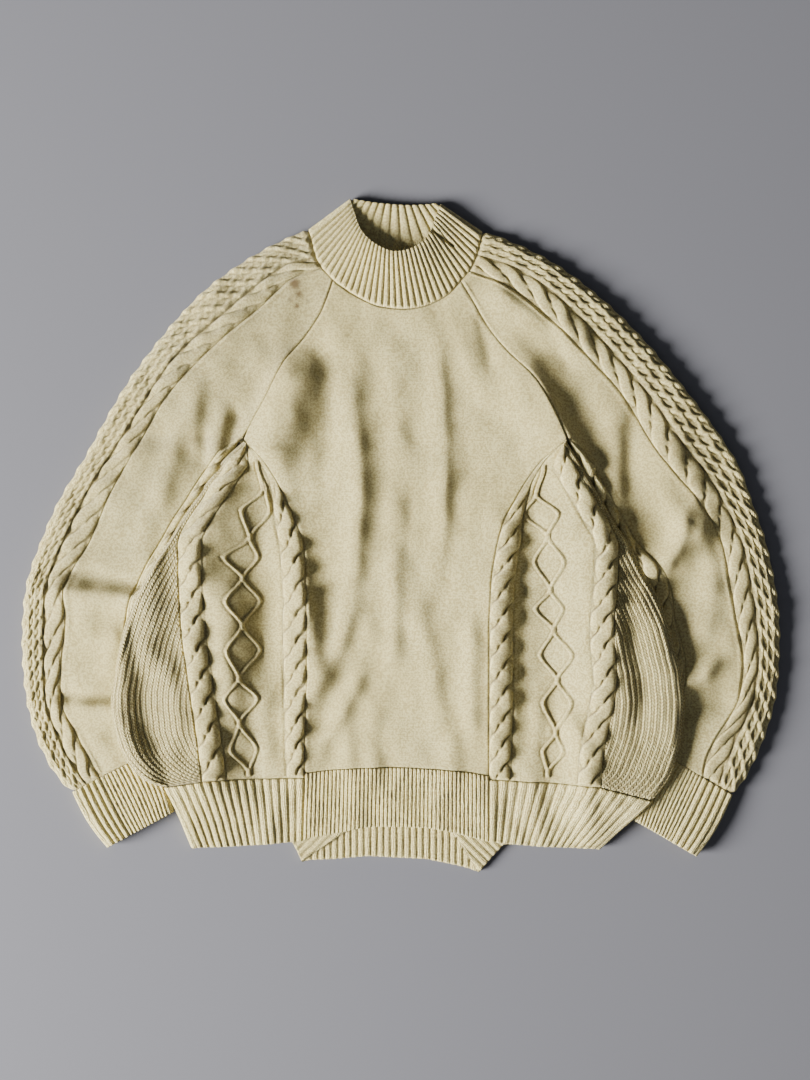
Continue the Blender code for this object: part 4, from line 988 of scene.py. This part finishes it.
def sleeve_band(side, lines):
    """Linked cables that roll over the sleeve's outer edge, and a rope beside them."""
    strip = Strip(lines["tip"], lines["rope"], CABLE_STEP)
    tip, cable, rope_line, under = (strip.on(lines[k]) for k in ("tip", "cable", "rope", "under"))
    turned, arc, fold_top = rolled(tip, cable, under, sleeve_top, sleeve_low)
    linked_part = between(fold_top, cable, FINE_STEP, False, False)[1:-1]
    rope_part = between(cable, rope_line, FINE_STEP, False)
    base = np.concatenate([turned, arc, lay(linked_part, sleeve_top), lay(rope_part, sleeve_top)])
    w = across(base)
    start = w[len(turned) + FOLD_ROWS // 4]
    middle = w[len(base) - len(rope_part)]
    width = w[-1] - middle
    s_link = lengths(mix(tip, cable, 0.5))[None]
    s_rope = lengths(mix(cable, rope_line, 0.5))[None]
    linked = links(np.clip((w - start) / (middle - start), 0, 1), s_link)
    roped, u, v = rope(from_right(side, (w - middle) / width), s_rope, width, **SLEEVE_ROPE)
    relief = np.where(w < start, 0.0, np.where(w < middle, linked, roped))
    uv = np.where((w < middle)[..., None], stitches(w, s_link), pair(u, v))
    wrapped("sleeve_band_" + side, "cable", base, relief, uv, strip.ends(), to_borders(w))


def sleeve_front(side, lines):
    """The plain front of the sleeve, with a fine welt beside the rope."""
    strip = Strip(lines["rope"], lines["seam"], PLAIN_STEP)
    d, plan = strip.grid(PLAIN_STEP)
    welts = welt(d, *ROPE_WELT) + welt(strip.width - d, *RAGLAN_WELT)
    uv = stitches(d - 0.5 * strip.width, strip.s[None])
    wrapped("sleeve_front_" + side, "shoulder" if side == "left" else "plain", lay(plan, sleeve_top),
            welts, uv, strip.ends(), np.minimum(d, strip.width - d))


def sleeve_underarm(side, lines):
    """The rope-cabled strip that wraps the sleeve's inner fold below the underarm."""
    part = {key: line[RAGLAN_END:] for key, line in lines.items()}
    strip = Strip(part["seam"], part["inner"], ROPE_STEP)
    seam, tip, back_line = (strip.on(part[k]) for k in ("seam", "inner", "back"))
    reach = np.minimum(FOLD_REACH, UNDERARM_FOLD_SHARE * strip.width)
    fold_top, foot = toward(tip, seam, reach[:, None]), toward(tip, back_line, reach[:, None])
    front = between(seam, fold_top, UNDERARM_STEP, far=False)[:-1]
    arc = fold(tip, seam, back_line, sleeve_top, sleeve_low,
               np.linspace(90, -90, FOLD_ROWS_SMALL), reach)
    turned = between(foot, back_line, UNDERARM_UNDER_STEP, False)[1:]
    base = np.concatenate([lay(front, sleeve_top), arc, lay(turned, sleeve_low)])
    w = across(base)
    s = strip.s[None]
    t = (w - UNDERARM_ROPE_IN) / UNDERARM_ROPE_WIDTH
    relief, u, v = rope(from_right(side, t), s, UNDERARM_ROPE_WIDTH, **UNDERARM_ROPE)
    wrapped("sleeve_underarm_" + side, "cable", base, relief * smooth(s / UNDERARM_ROPE_GROWS), pair(u, v),
            strip.ends(), to_borders(w), top=0)


def sleeve_back(side, lines):
    """The plain back of the sleeve, flat on the surface."""
    strip = Strip(lines["under"], lines["back"], SLEEVE_BACK_STEP)
    d, plan = strip.grid(SLEEVE_BACK_STEP)
    plain_under("sleeve_back_" + side, plan, sleeve_low, stitches(d, strip.s[None]))


def cuff(side, lines, outer_corner, inner_corner, wide_share):
    """A flat ribbed tube: wide ribs under the cabled strip, fine ribs under the plain cloth."""
    outer_top, inner_top = lines["outer"][-1], lines["inner"][-1]
    length = np.linalg.norm(outer_corner - outer_top)
    t = stations(length, CUFF_STEP) / length
    tip = mix(outer_top, outer_corner, t[:, None])
    far = mix(inner_top, inner_corner, t[:, None])
    bulge = CUFF_BULGE * np.sin(pi * t)[:, None] * unit(tip - far)
    tip, far = tip + bulge - CUFF_TIP_IN * unit(tip - far), far - bulge

    def top(x, y):
        return STACK + CUFF_RISE * smooth(t) + 0.0 * x

    def low(x, y):
        return 0.0 * x

    angles = np.linspace(-90, 90, FOLD_ROWS_CUFF)
    near_arc = fold(tip, far, far, top, low, angles)
    far_arc = fold(far, tip, tip, top, low, -angles)
    a, b = toward(tip, far, FOLD_REACH), toward(far, tip, FOLD_REACH)
    gap = np.linalg.norm(b - a, axis=1)
    front = lay(shifted(a, b, np.linspace(0, 1, CUFF_FRONT_ROWS)[1:-1, None] * gap), top)
    under = lay(shifted(b, a, np.linspace(0, 1, CUFF_UNDER_ROWS)[1:-1, None] * gap), low)
    base = np.concatenate([near_arc, front, far_arc, under])
    w = across(base)
    half = FOLD_ROWS_CUFF // 2
    w0, w1 = w[half], w[len(near_arc) + len(front) + half]
    share = (w - w0) / (w1 - w0)
    wide = share < wide_share
    r = np.where(wide, share / wide_share * CUFF_WIDE_RIBS,
                 (share - wide_share) / (1 - wide_share) * CUFF_FINE_RIBS)
    n = normals(base, len(near_arc) + len(front) // 2, ring=True)
    relief = np.where(wide, ribs(r, "cuff_wide"), ribs(r, "cuff_fine")) * showing(n)
    height = relief + hem_ends(t, length, CUFF_FREE_ROUND)[1]
    inner = inside(coarser(base - n * CUFF_WALL, 3, 4), CUFF_INSIDE_LEAST)
    uv = pair(r * np.where(wide, 2.0, 1.0), t[None] * length / COURSE)
    cloth("cuff_" + side, "rib", raised(base, n, height), inner, uv, ring=True,
          height=height)


# Body


def fit_end(plan, row, line, gap, share):
    """Moves a panel's end row onto a curve, and the rows beside it less and less."""
    move = over_x(line, plan[:, row, 0])[:, 1] - plan[:, row, 1] + gap
    plan[..., 1] += move[:, None] * smooth(1.0 - share)


def front_center(sleeves, bodies):
    """The plain centre front: raglan seams above the underarm, princess seams below."""
    left, right = (np.vstack([sleeves[side]["inner"][:RAGLAN_END - RAGLAN_SHORT], PRINCESS_TOP[side],
                              bodies[side]["princess"][PRINCESS_ROWS], CENTRE_HEM_CORNER[side]])
                   for side in SIDES)
    strip = Strip(left, right, CENTRE_STEP, 0.0, 0.0)
    d, plan = strip.grid(CENTRE_STEP)
    fit_end(plan, 0, curve(COLLAR_BASE), SEAM_GAP, strip.s / NECK_EASE)
    fit_end(plan, -1, curve(CENTRE_HEM_SEAM), -SEAM_GAP, (strip.total - strip.s) / HEM_EASE)
    to_seams = np.minimum(d, strip.width - d)
    wrapped("front_center", "plain", lay(plan, body_top), welt(to_seams, *CENTRE_WELT),
            stitches(plan[..., 0], plan[..., 1]), strip.ends(), to_seams)


def side_front(side, lines, lattice):
    """Two rope cables, narrowing to the underarm, with the diamond lattice between them."""
    strip = Strip(lines["gusset"], lines["princess"], CABLE_STEP)
    d, plan = strip.grid(CABLE_STEP)
    width = strip.width
    base = lay(plan, body_top)
    near_width = np.minimum(BODY_ROPE_WIDTH, NEAR_ROPE_SHARE * width)
    far_width = 0.10 * width + 0.20 * np.maximum(width - FAR_ROPE_OPENS, 0.0)
    far_width = np.minimum(BODY_ROPE_WIDTH, far_width)
    s = strip.s[None]
    t_near, t_far = d / near_width, (d - width + far_width) / far_width
    near, u_near, v_near = rope(from_right(side, t_near), s, near_width, **BODY_ROPE)
    far, u_far, v_far = rope(from_right(side, t_far), s + FAR_ROPE_SHIFT, far_width, **BODY_ROPE)
    near = near * smooth(near_width / 11.0)
    far = far * smooth((far_width - 6.0) / 10.0)
    x, y = plan[..., 0], plan[..., 1]
    beside = np.minimum(d - near_width, width - far_width - d)
    cords = sum(cord(x, y, lattice[k], lattice["y"]) for k in SIDES)
    moat = -MOAT_DEPTH * bell(beside, MOAT_WIDTH)
    panel_relief = np.minimum(cords, CORD_RISE) * smooth(beside / 2.0) + moat
    panel, on_near = (t_near > 1.0) & (t_far < 0.0), t_near <= 1.0
    relief, u, v = (np.where(panel, a, np.where(on_near, b, c)) for a, b, c in (
        (panel_relief, near, far), (x / WALE, u_near, u_far), (y / COURSE, v_near, v_far)))
    wrapped("side_front_" + side, "cable", base, relief, pair(u, v),
            strip.ends(SHORT_FADE), np.minimum(d, width - d))


def gusset(side, lines):
    """Chunky tuck rib round the side fold, its ribs in line with the fold."""
    strip = Strip(lines["side"], lines["gusset"], FINE_STEP)
    tip = toward(strip.left, strip.right, GUSSET_TIP_IN)
    turned, arc, fold_top = rolled(tip, strip.right, strip.on(lines["under"]), body_top, body_low)
    front = between(fold_top, strip.right, TUCK_STEP, False)[1:]
    base = np.concatenate([turned, arc, lay(front, body_top)])
    w = across(base)
    r = (w - w[len(turned) + FOLD_ROWS // 2]) / TUCK_PITCH + TUCK_SHIFT
    beads = np.sin(tau * strip.s[None] / BEAD_PITCH + BEAD_SLANT * np.abs(2.0 * (r % 1.0) - 1.0))
    beaded = 1.0 - BEAD_DEPTH + BEAD_DEPTH * beads
    relief = ribs(r, "tuck") * beaded * smooth((strip.width - 8.0) / 10.0)
    wrapped("gusset_" + side, "tuck", base, relief, pair(r, strip.s[None] / BEAD_PITCH),
            strip.ends(SHORT_FADE), to_borders(w))


def back(sleeves, bodies):
    """The plain back panel, from the back neck to the back hem."""
    left, right = (np.vstack([sleeves[side]["back"][:RAGLAN_END + 1], bodies[side]["under"][UNDER_ROWS]])
                   for side in SIDES)
    strip = Strip(left, right, BACK_STEP, 0.0)
    plan = strip.grid(BACK_STEP)[1]
    fit_end(plan, 0, curve(COLLAR_BACK_BASE), SEAM_GAP, strip.s / BACK_NECK_EASE)
    plain_under("back", plan, body_low, stitches(plan[..., 0], plan[..., 1]))


# Collar and hems


def collar():
    """The mock neck: a ribbed tube whose back lies flat and whose front stands over the opening.

    t runs up the tube from its seam (0) to its rim (1), closer together at both."""
    base_line, rim_line = curve(COLLAR_BASE), curve(COLLAR_RIM)
    back_base, back_rim = curve(COLLAR_BACK_BASE), curve(COLLAR_BACK_RIM)
    t = np.concatenate([[0.004, 0.01, 0.022, 0.04], np.linspace(0.065, 0.93, 26),
                        [0.955, 0.975, 0.99, 1.0]])
    tip_reach = FOLD_REACH / lengths(base_line)[-1]
    back_reach = FOLD_REACH / lengths(back_base)[-1]
    mid = STACK / 2

    def arms(shares, low, high, height):
        plan = ruled(at_share(low, shares), at_share(high, shares), t)
        return np.dstack([plan, np.broadcast_to(height, plan.shape[:2])])

    def side_arc(angles, left):
        turn = np.radians(angles)
        reach = tip_reach * (1 - np.cos(np.maximum(turn, 0)))
        back_way = back_reach * (1 - np.cos(np.minimum(turn, 0)))
        z = mid + mid * np.sin(turn)[:, None]
        front_side = arms(reach if left else 1 - reach, base_line, rim_line, z)
        back_side = arms(back_way if left else 1 - back_way, back_base, back_rim, z)
        return np.where((turn >= 0)[:, None, None], front_side, back_side)

    shares = np.linspace(tip_reach, 1 - tip_reach, COLLAR_RIB_ROWS * COLLAR_RIBS + 1)
    crown = np.sin(pi * shares[:, None]) ** COLLAR_CROWN
    rise = crown * (COLLAR_RIM_HEIGHT - STACK) * smooth(COLLAR_STAND * t) / smooth(COLLAR_STAND)
    front = arms(shares, base_line, rim_line, STACK + rise)
    back_shares = np.linspace(1 - back_reach, back_reach, 24)
    turns = np.array([0.0, 22.5, 45.0, 67.5])
    base = np.concatenate([
        side_arc(turns, True), front, side_arc(turns[::-1], False), side_arc(-turns[1:], False),
        arms(back_shares, back_base, back_rim, 0.0), side_arc(-turns[:0:-1], True)])
    n = normals(base, len(turns) + len(shares) // 2, ring=True)
    r = np.zeros((len(base), 1))
    r[len(turns):len(turns) + len(shares), 0] = np.linspace(0, COLLAR_RIBS, len(shares))
    slit = -SLIT_DEPTH * bell(slit_distance(base[..., 0], base[..., 1]), SLIT_WIDTH)
    lip = np.where(t > 0.9, 1.0 - 0.55 * smooth((t - 0.9) / 0.1), 1.0)[None]
    relief = ribs(r, "collar") * showing(n) * smooth(t / 0.05)[None] * lip
    height = relief + seam_dip(t * COLLAR_LENGTH)[None] + slit * (n[..., 2] > 0.3)
    inside_reach = COLLAR_INSIDE_IN * back_reach
    back_inside = np.linspace(1 - inside_reach, inside_reach, 9 * COLLAR_INSIDE_RIBS + 1)
    turns = np.array([0.0, 45.0])
    ring = np.concatenate([
        side_arc(turns, True), coarser(front, 6, 1), side_arc(turns[::-1], False),
        arms(back_inside, back_base, back_rim, 0.0)])
    inner = ring - normals(ring, 10, ring=True) * WALL
    r_inside = np.linspace(0, COLLAR_INSIDE_RIBS, len(back_inside))[:, None]
    rim_lift = COLLAR_BACK_LIFT * smooth(t)[None] ** 2
    inner[-len(back_inside):, :, 2] = WALL + ribs(r_inside, "collar_inside") + rim_lift
    cloth("collar", "rib", raised(base, n, height), inside(inner, INSIDE_LEAST),
          pair(2.0 * r, t[None] * COLLAR_LENGTH / COURSE), ring=True, height=height)


def slit_distance(x, y):
    """Distance from the crease where the collar's right side doubles over."""
    ax, ay, bx, by = COLLAR_CREASE
    dx, dy = bx - ax, by - ay
    t = np.clip(((x - ax) * dx + (y - ay) * dy) / (dx * dx + dy * dy), 0, 1)
    return np.hypot(x - ax - t * dx, y - ay - t * dy)


def hem_front_center():
    """Fine rib under the centre front, its lower edge arched up in the middle."""
    seam, foot = curve(CENTRE_HEM_SEAM), curve(CENTRE_HEM_FOOT)
    first, last = (CENTRE_HEM_CORNER[side][0] for side in SIDES)
    ribbed = np.linspace(first + HEM_EDGE[-1], last - HEM_EDGE[-1], HEM_RIB_ROWS * CENTRE_HEM_RIBS)
    x = np.concatenate([first + HEM_EDGE[:-1], ribbed, last - HEM_EDGE[-2::-1]])
    t = stations(HEM_CENTRE_LENGTH, HEM_CENTRE_STEP) / HEM_CENTRE_LENGTH
    share = ((x - x[0]) / (x[-1] - x[0]))[:, None]
    lower_x = mix(foot[0, 0], foot[-1, 0], share[:, 0])
    base = lay(ruled(over_x(seam, x), over_x(foot, lower_x), t), body_top)
    r = share * CENTRE_HEM_RIBS
    wrapped("hem_front_center", "rib", base, ribs(r, "hem_centre") + 0.0 * t[None],
            pair(r, t[None] * HEM_CENTRE_LENGTH / COURSE), hem_ends(t, HEM_CENTRE_LENGTH),
            np.minimum(share, 1 - share) * (x[-1] - x[0]))


def hem_side(side, lines, corner_princess, corner_side):
    """Wide rib round the side fold, below the gusset and the side front."""
    corner_princess, corner_side = np.array(corner_princess, float), np.array(corner_side, float)
    t = stations(HEM_SIDE_LENGTH, HEM_SIDE_STEP) / HEM_SIDE_LENGTH
    col = t[:, None]
    princess_top, gusset_top, side_top = (lines[k][-1] for k in ("princess", "gusset", "side"))
    side_line = mix(side_top, corner_side, col)
    princess = mix(princess_top, corner_princess, col)
    share_kink = np.linalg.norm(gusset_top - princess_top) / np.linalg.norm(side_top - princess_top)
    kink = gusset_top - mix(princess_top, side_top, share_kink)
    under_end = toward(corner_side, corner_princess, GUSSET_UNDER)
    under = mix(lines["under"][-1], under_end, col)
    fold_top = toward(side_line, princess, FOLD_REACH)
    width = np.linalg.norm(fold_top - princess, axis=1).max()
    edge = SEAM_ROUND * np.array([0.07, 0.3, 0.65]) / width
    ribbed = np.linspace(SEAM_ROUND / width, 1.0, HEM_RIB_ROWS * SIDE_HEM_RIBS)
    share = np.concatenate([edge, ribbed])[:-1]
    bend = np.minimum(share / share_kink, (1 - share) / (1 - share_kink))
    plan = mix(princess[None], fold_top[None], share[:, None, None])
    plan = plan + (1 - t)[None, :, None] * kink * bend[:, None, None]
    plan[..., 1] += t[None] * np.sin(pi * share)[:, None]
    arc = fold(side_line, princess, under, body_top, body_lift, np.linspace(90, -90, FOLD_ROWS_SMALL))
    turned = between(toward(side_line, under, FOLD_REACH), under, UNDER_STEP, False)[1:]
    base = np.concatenate([lay(plan, body_top), arc, lay(turned, body_lift)])
    past_front = SIDE_HEM_RIBS + np.arange(1, len(base) - len(share) + 1) * FOLDED_RIB_SHARE
    r = np.concatenate([share * SIDE_HEM_RIBS, past_front])[:, None]
    wrapped("hem_side_" + side, "rib", base, ribs(r, "hem_side") + 0.0 * t[None],
            pair(2.0 * r, t[None] * HEM_SIDE_LENGTH / COURSE), hem_ends(t, HEM_SIDE_LENGTH),
            to_borders(across(base)), top=0)


def hem_back(bodies):
    """The longer back hem: its ribs show below the front, and its two corners are folded over."""
    a, b = (bodies[side]["under"][-1] for side in SIDES)
    top_left, top_right = toward(a, b, SEAM_GAP), toward(b, a, SEAM_GAP)
    foot = column(BACK_HEM_FOOT)
    first, last = foot[0, 0], foot[-1, 0]
    shows_from, shows_to = BACK_HEM_SHOWS
    x = np.concatenate([np.linspace(first, shows_from, 12)[:-1], np.linspace(shows_from, shows_to, 250),
                        np.linspace(shows_to, last, 12)[1:]])
    t = np.concatenate([[0.004, 0.3], np.linspace(0.5, 0.985, 28), [1.0]])
    share = (x - first) / (last - first)
    upper = mix(top_left, top_right, share[:, None])
    plan = ruled(upper, over_x(foot, x), t)
    plan[..., 0] = np.where(t > 0.4, mix(plan[..., 0], x[:, None], 0.8), plan[..., 0])
    px, py = plan[..., 0], plan[..., 1]
    left_flap, right_flap = ((px - x0) * rise - (y0 - py) * run < 0 for x0, y0, rise, run in HEM_FLAPS)
    upright = (px - BACK_RIB_START) / BACK_RIB_PITCH
    slanted = np.where(left_flap, (px + py) * 0.707, (px - py) * 0.707) / BACK_RIB_PITCH
    flap = left_flap | right_flap
    r = np.where(flap, slanted, upright)
    relief = (ribs(r, "hem_back") + FLAP_RISE * flap) * smooth((t - 0.3) / 0.2)[None]
    relief = relief + HEM_FREE_ROUND * seam_dip((1 - t) * HEM_BACK_LENGTH)[None]
    inner = lay(plan, body_lift)
    outer = inner + np.dstack([0 * relief, 0 * relief, WALL + relief])
    inner = coarser(inner, 3, 6)
    cloth("hem_back", "rib", outer, inner, pair(2.0 * r, py / COURSE),
          height=relief)


# Looks of the yarn


class Nodes:
    """Short names for the shader nodes that the knitting needs."""

    def __init__(self, material):
        self.tree = material.node_tree

    def put(self, target, value):
        if isinstance(value, bpy.types.NodeSocket):
            self.tree.links.new(value, target)
        else:
            target.default_value = value

    def node(self, kind, inputs=(), **settings):
        made = self.tree.nodes.new("ShaderNode" + kind)
        for key, value in settings.items():
            setattr(made, key, value)
        for key, value in dict(inputs).items():
            self.put(made.inputs[key], value)
        return made

    def math(self, operation, *values):
        return self.node("Math", enumerate(values), operation=operation).outputs[0]

    def vector(self, operation, *values):
        return self.node("VectorMath", enumerate(values), operation=operation)

    def mix(self, factor, a, b):
        return self.node("Mix", {0: factor, 6: a, 7: b}, data_type="RGBA").outputs[2]

    def noise(self, where, name):
        scale, detail = NOISE[name]
        return self.node("TexNoise", {"Vector": where, "Scale": scale, "Detail": detail}).outputs["Fac"]

    def ramp(self, value, low, high, at_low=0.0, at_high=1.0):
        return self.node("MapRange", {"Value": value, "From Min": low, "From Max": high,
                                      "To Min": at_low, "To Max": at_high}).outputs[0]


def yarn(name, slot, depth, bead=0.5, wander=1.2, leg_gap_shade=YARN_FLECK_AND_SHADE, stains=()):
    """Cream cotton knit: rows of V stitches from the cloth's own coordinates, and a soft nap, with shade
    painted into the colour between the stitches' legs and in the cloth's creases.

    depth is a stitch's height in millimetres, bead the share of it by which a stitch dips to the
    next one, and wander how far noise moves the stitches, in stitches."""
    material = bpy.data.materials.new("yarn_" + name)
    material.use_nodes = True
    material["slot"] = slot
    n = Nodes(material)
    shader = n.tree.nodes["Principled BSDF"]
    place = n.node("TexCoord").outputs["Object"]
    stitch = n.node("SeparateXYZ", {0: n.node("UVMap", uv_map="knit").outputs[0]})
    wobble = n.math("MULTIPLY", n.noise(place, "wobble"), wander)
    u, v = (n.math("ADD", stitch.outputs[k], wobble) for k in (0, 1))
    leg_place = n.math("ABSOLUTE", n.math("SUBTRACT", n.math("FRACT", u), 0.5))
    off_leg = n.math("MULTIPLY", n.math("SUBTRACT", leg_place, 0.25), 4.0)
    leg = n.math("SUBTRACT", 1.0, n.math("MULTIPLY", off_leg, off_leg))
    turn = n.math("MULTIPLY", n.math("SUBTRACT", v, n.math("MULTIPLY", leg_place, 2.0)), tau)
    beads = n.math("MULTIPLY_ADD", n.math("SINE", turn), 0.5 * bead, 1.0 - 0.5 * bead)
    height = n.math("MULTIPLY", leg, beads)
    nap, lumps = n.noise(place, "nap"), n.noise(place, "lumps")
    rough_height = n.math("ADD", height, n.math("MULTIPLY", nap, NAP_SHARE))
    rough_height = n.math("ADD", rough_height, n.math("MULTIPLY", lumps, LUMP_SHARE))
    bump = n.node("Bump", {"Strength": 1.0, "Distance": depth * MM, "Height": rough_height})
    colour = n.mix(n.ramp(n.noise(place, "wear"), 0.35, 0.65), YARN_WARM, YARN)
    colour = n.mix(n.ramp(n.noise(place, "fleck"), 0.36, 0.60, FLECK_MOST, 0.0), colour, YARN_FLECK_AND_SHADE)
    # painted shade: the colour darkens between the stitches' legs, where they dip apart
    colour = n.mix(n.ramp(height, 0.0, 0.9, SHADE_MOST, 0.0), colour, leg_gap_shade)
    in_plan = n.vector("MULTIPLY", place, (1.0, 1.0, 0.0)).outputs[0]
    # painted shade: the yarn darkens in creases by how deep they lie
    deep = n.node("Attribute", attribute_name="furrow").outputs["Fac"]
    colour = n.mix(n.math("MULTIPLY", deep, FURROW_SHADE), colour, YARN_PAINTED_SHADE)
    for x, y, radius, strength in stains:
        centre = ((x - CENTRE_X) * MM, (CENTRE_Y - y) * MM, 0.0)
        away = n.vector("DISTANCE", in_plan, centre).outputs["Value"]
        edge = n.math("ADD", away, n.math("MULTIPLY", n.noise(place, "stain"), STAIN_RAGGED))
        colour = n.mix(n.ramp(edge, radius * MM, 0.0, 0.0, strength), colour, STAIN)
    n.put(shader.inputs["Base Color"], colour)
    n.put(shader.inputs["Normal"], bump.outputs[0])
    shader.inputs["Roughness"].default_value = 0.88
    shader.inputs["Specular IOR Level"].default_value = 0.25
    shader.inputs["Sheen Weight"].default_value = 0.22
    shader.inputs["Sheen Roughness"].default_value = 0.45
    shader.inputs["Sheen Tint"].default_value = NAP_TINT
    return material


looks = {
    "plain": yarn("plain", "plain_knit", 0.9),
    "shoulder": yarn("shoulder", "plain_knit", 0.9, stains=STAINS),
    "cable": yarn("cable", "cable_knit", 0.8),
    "rib": yarn("rib", "rib_knit", 0.7),
    # the tuck's beads get the darkest painted shade between their legs
    "tuck": yarn("tuck", "rib_knit", 1.5, bead=0.9, wander=0.25, leg_gap_shade=YARN_PAINTED_SHADE),
}


# The garment

sleeves = {side: sleeve_edges(SLEEVE[side], *BACK_NECK[side]) for side in SIDES}
bodies = {side: body_edges(BODY[side], PRINCESS_TOP[side]) for side in SIDES}

for side in SIDES:
    for piece in (sleeve_back, sleeve_front, sleeve_band, sleeve_underarm):
        piece(side, sleeves[side])
for side in SIDES:
    cuff(side, sleeves[side], *CUFF_ENDS[side])
back(sleeves, bodies)
front_center(sleeves, bodies)
for side in SIDES:
    side_front(side, bodies[side], LATTICE[side])
for side in SIDES:
    gusset(side, bodies[side])
collar()
hem_back(bodies)
hem_front_center()
for side in SIDES:
    hem_side(side, bodies[side], *HEM_CORNERS[side])


# Floor, light and camera


def placed(name, data, place=(0.0, 0.0, 0.0)):
    obj = bpy.data.objects.new(name, data)
    bpy.context.scene.collection.objects.link(obj)
    obj.location = place
    return obj


def floor():
    mesh = bpy.data.meshes.new("floor")
    corners = [(-1, -1), (1, -1), (1, 1), (-1, 1)]
    mesh.from_pydata([(x * FLOOR_REACH, y * FLOOR_REACH, -FLOOR_DOWN) for x, y in corners],
                     [], [(0, 1, 2, 3)])
    material = bpy.data.materials.new("floor")
    material.use_nodes = True
    shader = material.node_tree.nodes["Principled BSDF"]
    shader.inputs["Base Color"].default_value = FLOOR
    shader.inputs["Roughness"].default_value = 0.9
    mesh.materials.append(material)
    placed("floor", mesh)


def area_light(name, place, size, power, colour):
    """A round light that faces the garment's middle."""
    data = bpy.data.lights.new(name, "AREA")
    data.shape = "DISK"
    data.size = size
    data.energy = power
    data.color = colour
    x, y, z = -np.array(place)
    placed(name, data, place).rotation_euler = (
        radians(90) - np.arctan2(z, np.hypot(x, y)), 0.0, np.arctan2(y, x) - radians(90))


def sky():
    world = bpy.data.worlds.new("studio")
    bpy.context.scene.world = world
    world.use_nodes = True
    background = world.node_tree.nodes["Background"]
    background.inputs["Color"].default_value = SKY
    background.inputs["Strength"].default_value = SKY_STRENGTH


floor()
area_light("key", KEY_PLACE, KEY_SIZE, KEY_POWER, KEY_COLOUR)
area_light("fill", FILL_PLACE, FILL_SIZE, FILL_POWER, FILL_COLOUR)
sky()

camera_data = bpy.data.cameras.new("camera")
camera_data.sensor_fit = "VERTICAL"
camera_data.sensor_height = SENSOR
camera_data.lens = SENSOR * CAMERA_HEIGHT / VIEW_HEIGHT
view_x, view_y = VIEW_CENTRE
bpy.context.scene.camera = placed("camera", camera_data, (
    (view_x - CENTRE_X) * MM, (CENTRE_Y - view_y) * MM, CAMERA_HEIGHT + STACK * MM))
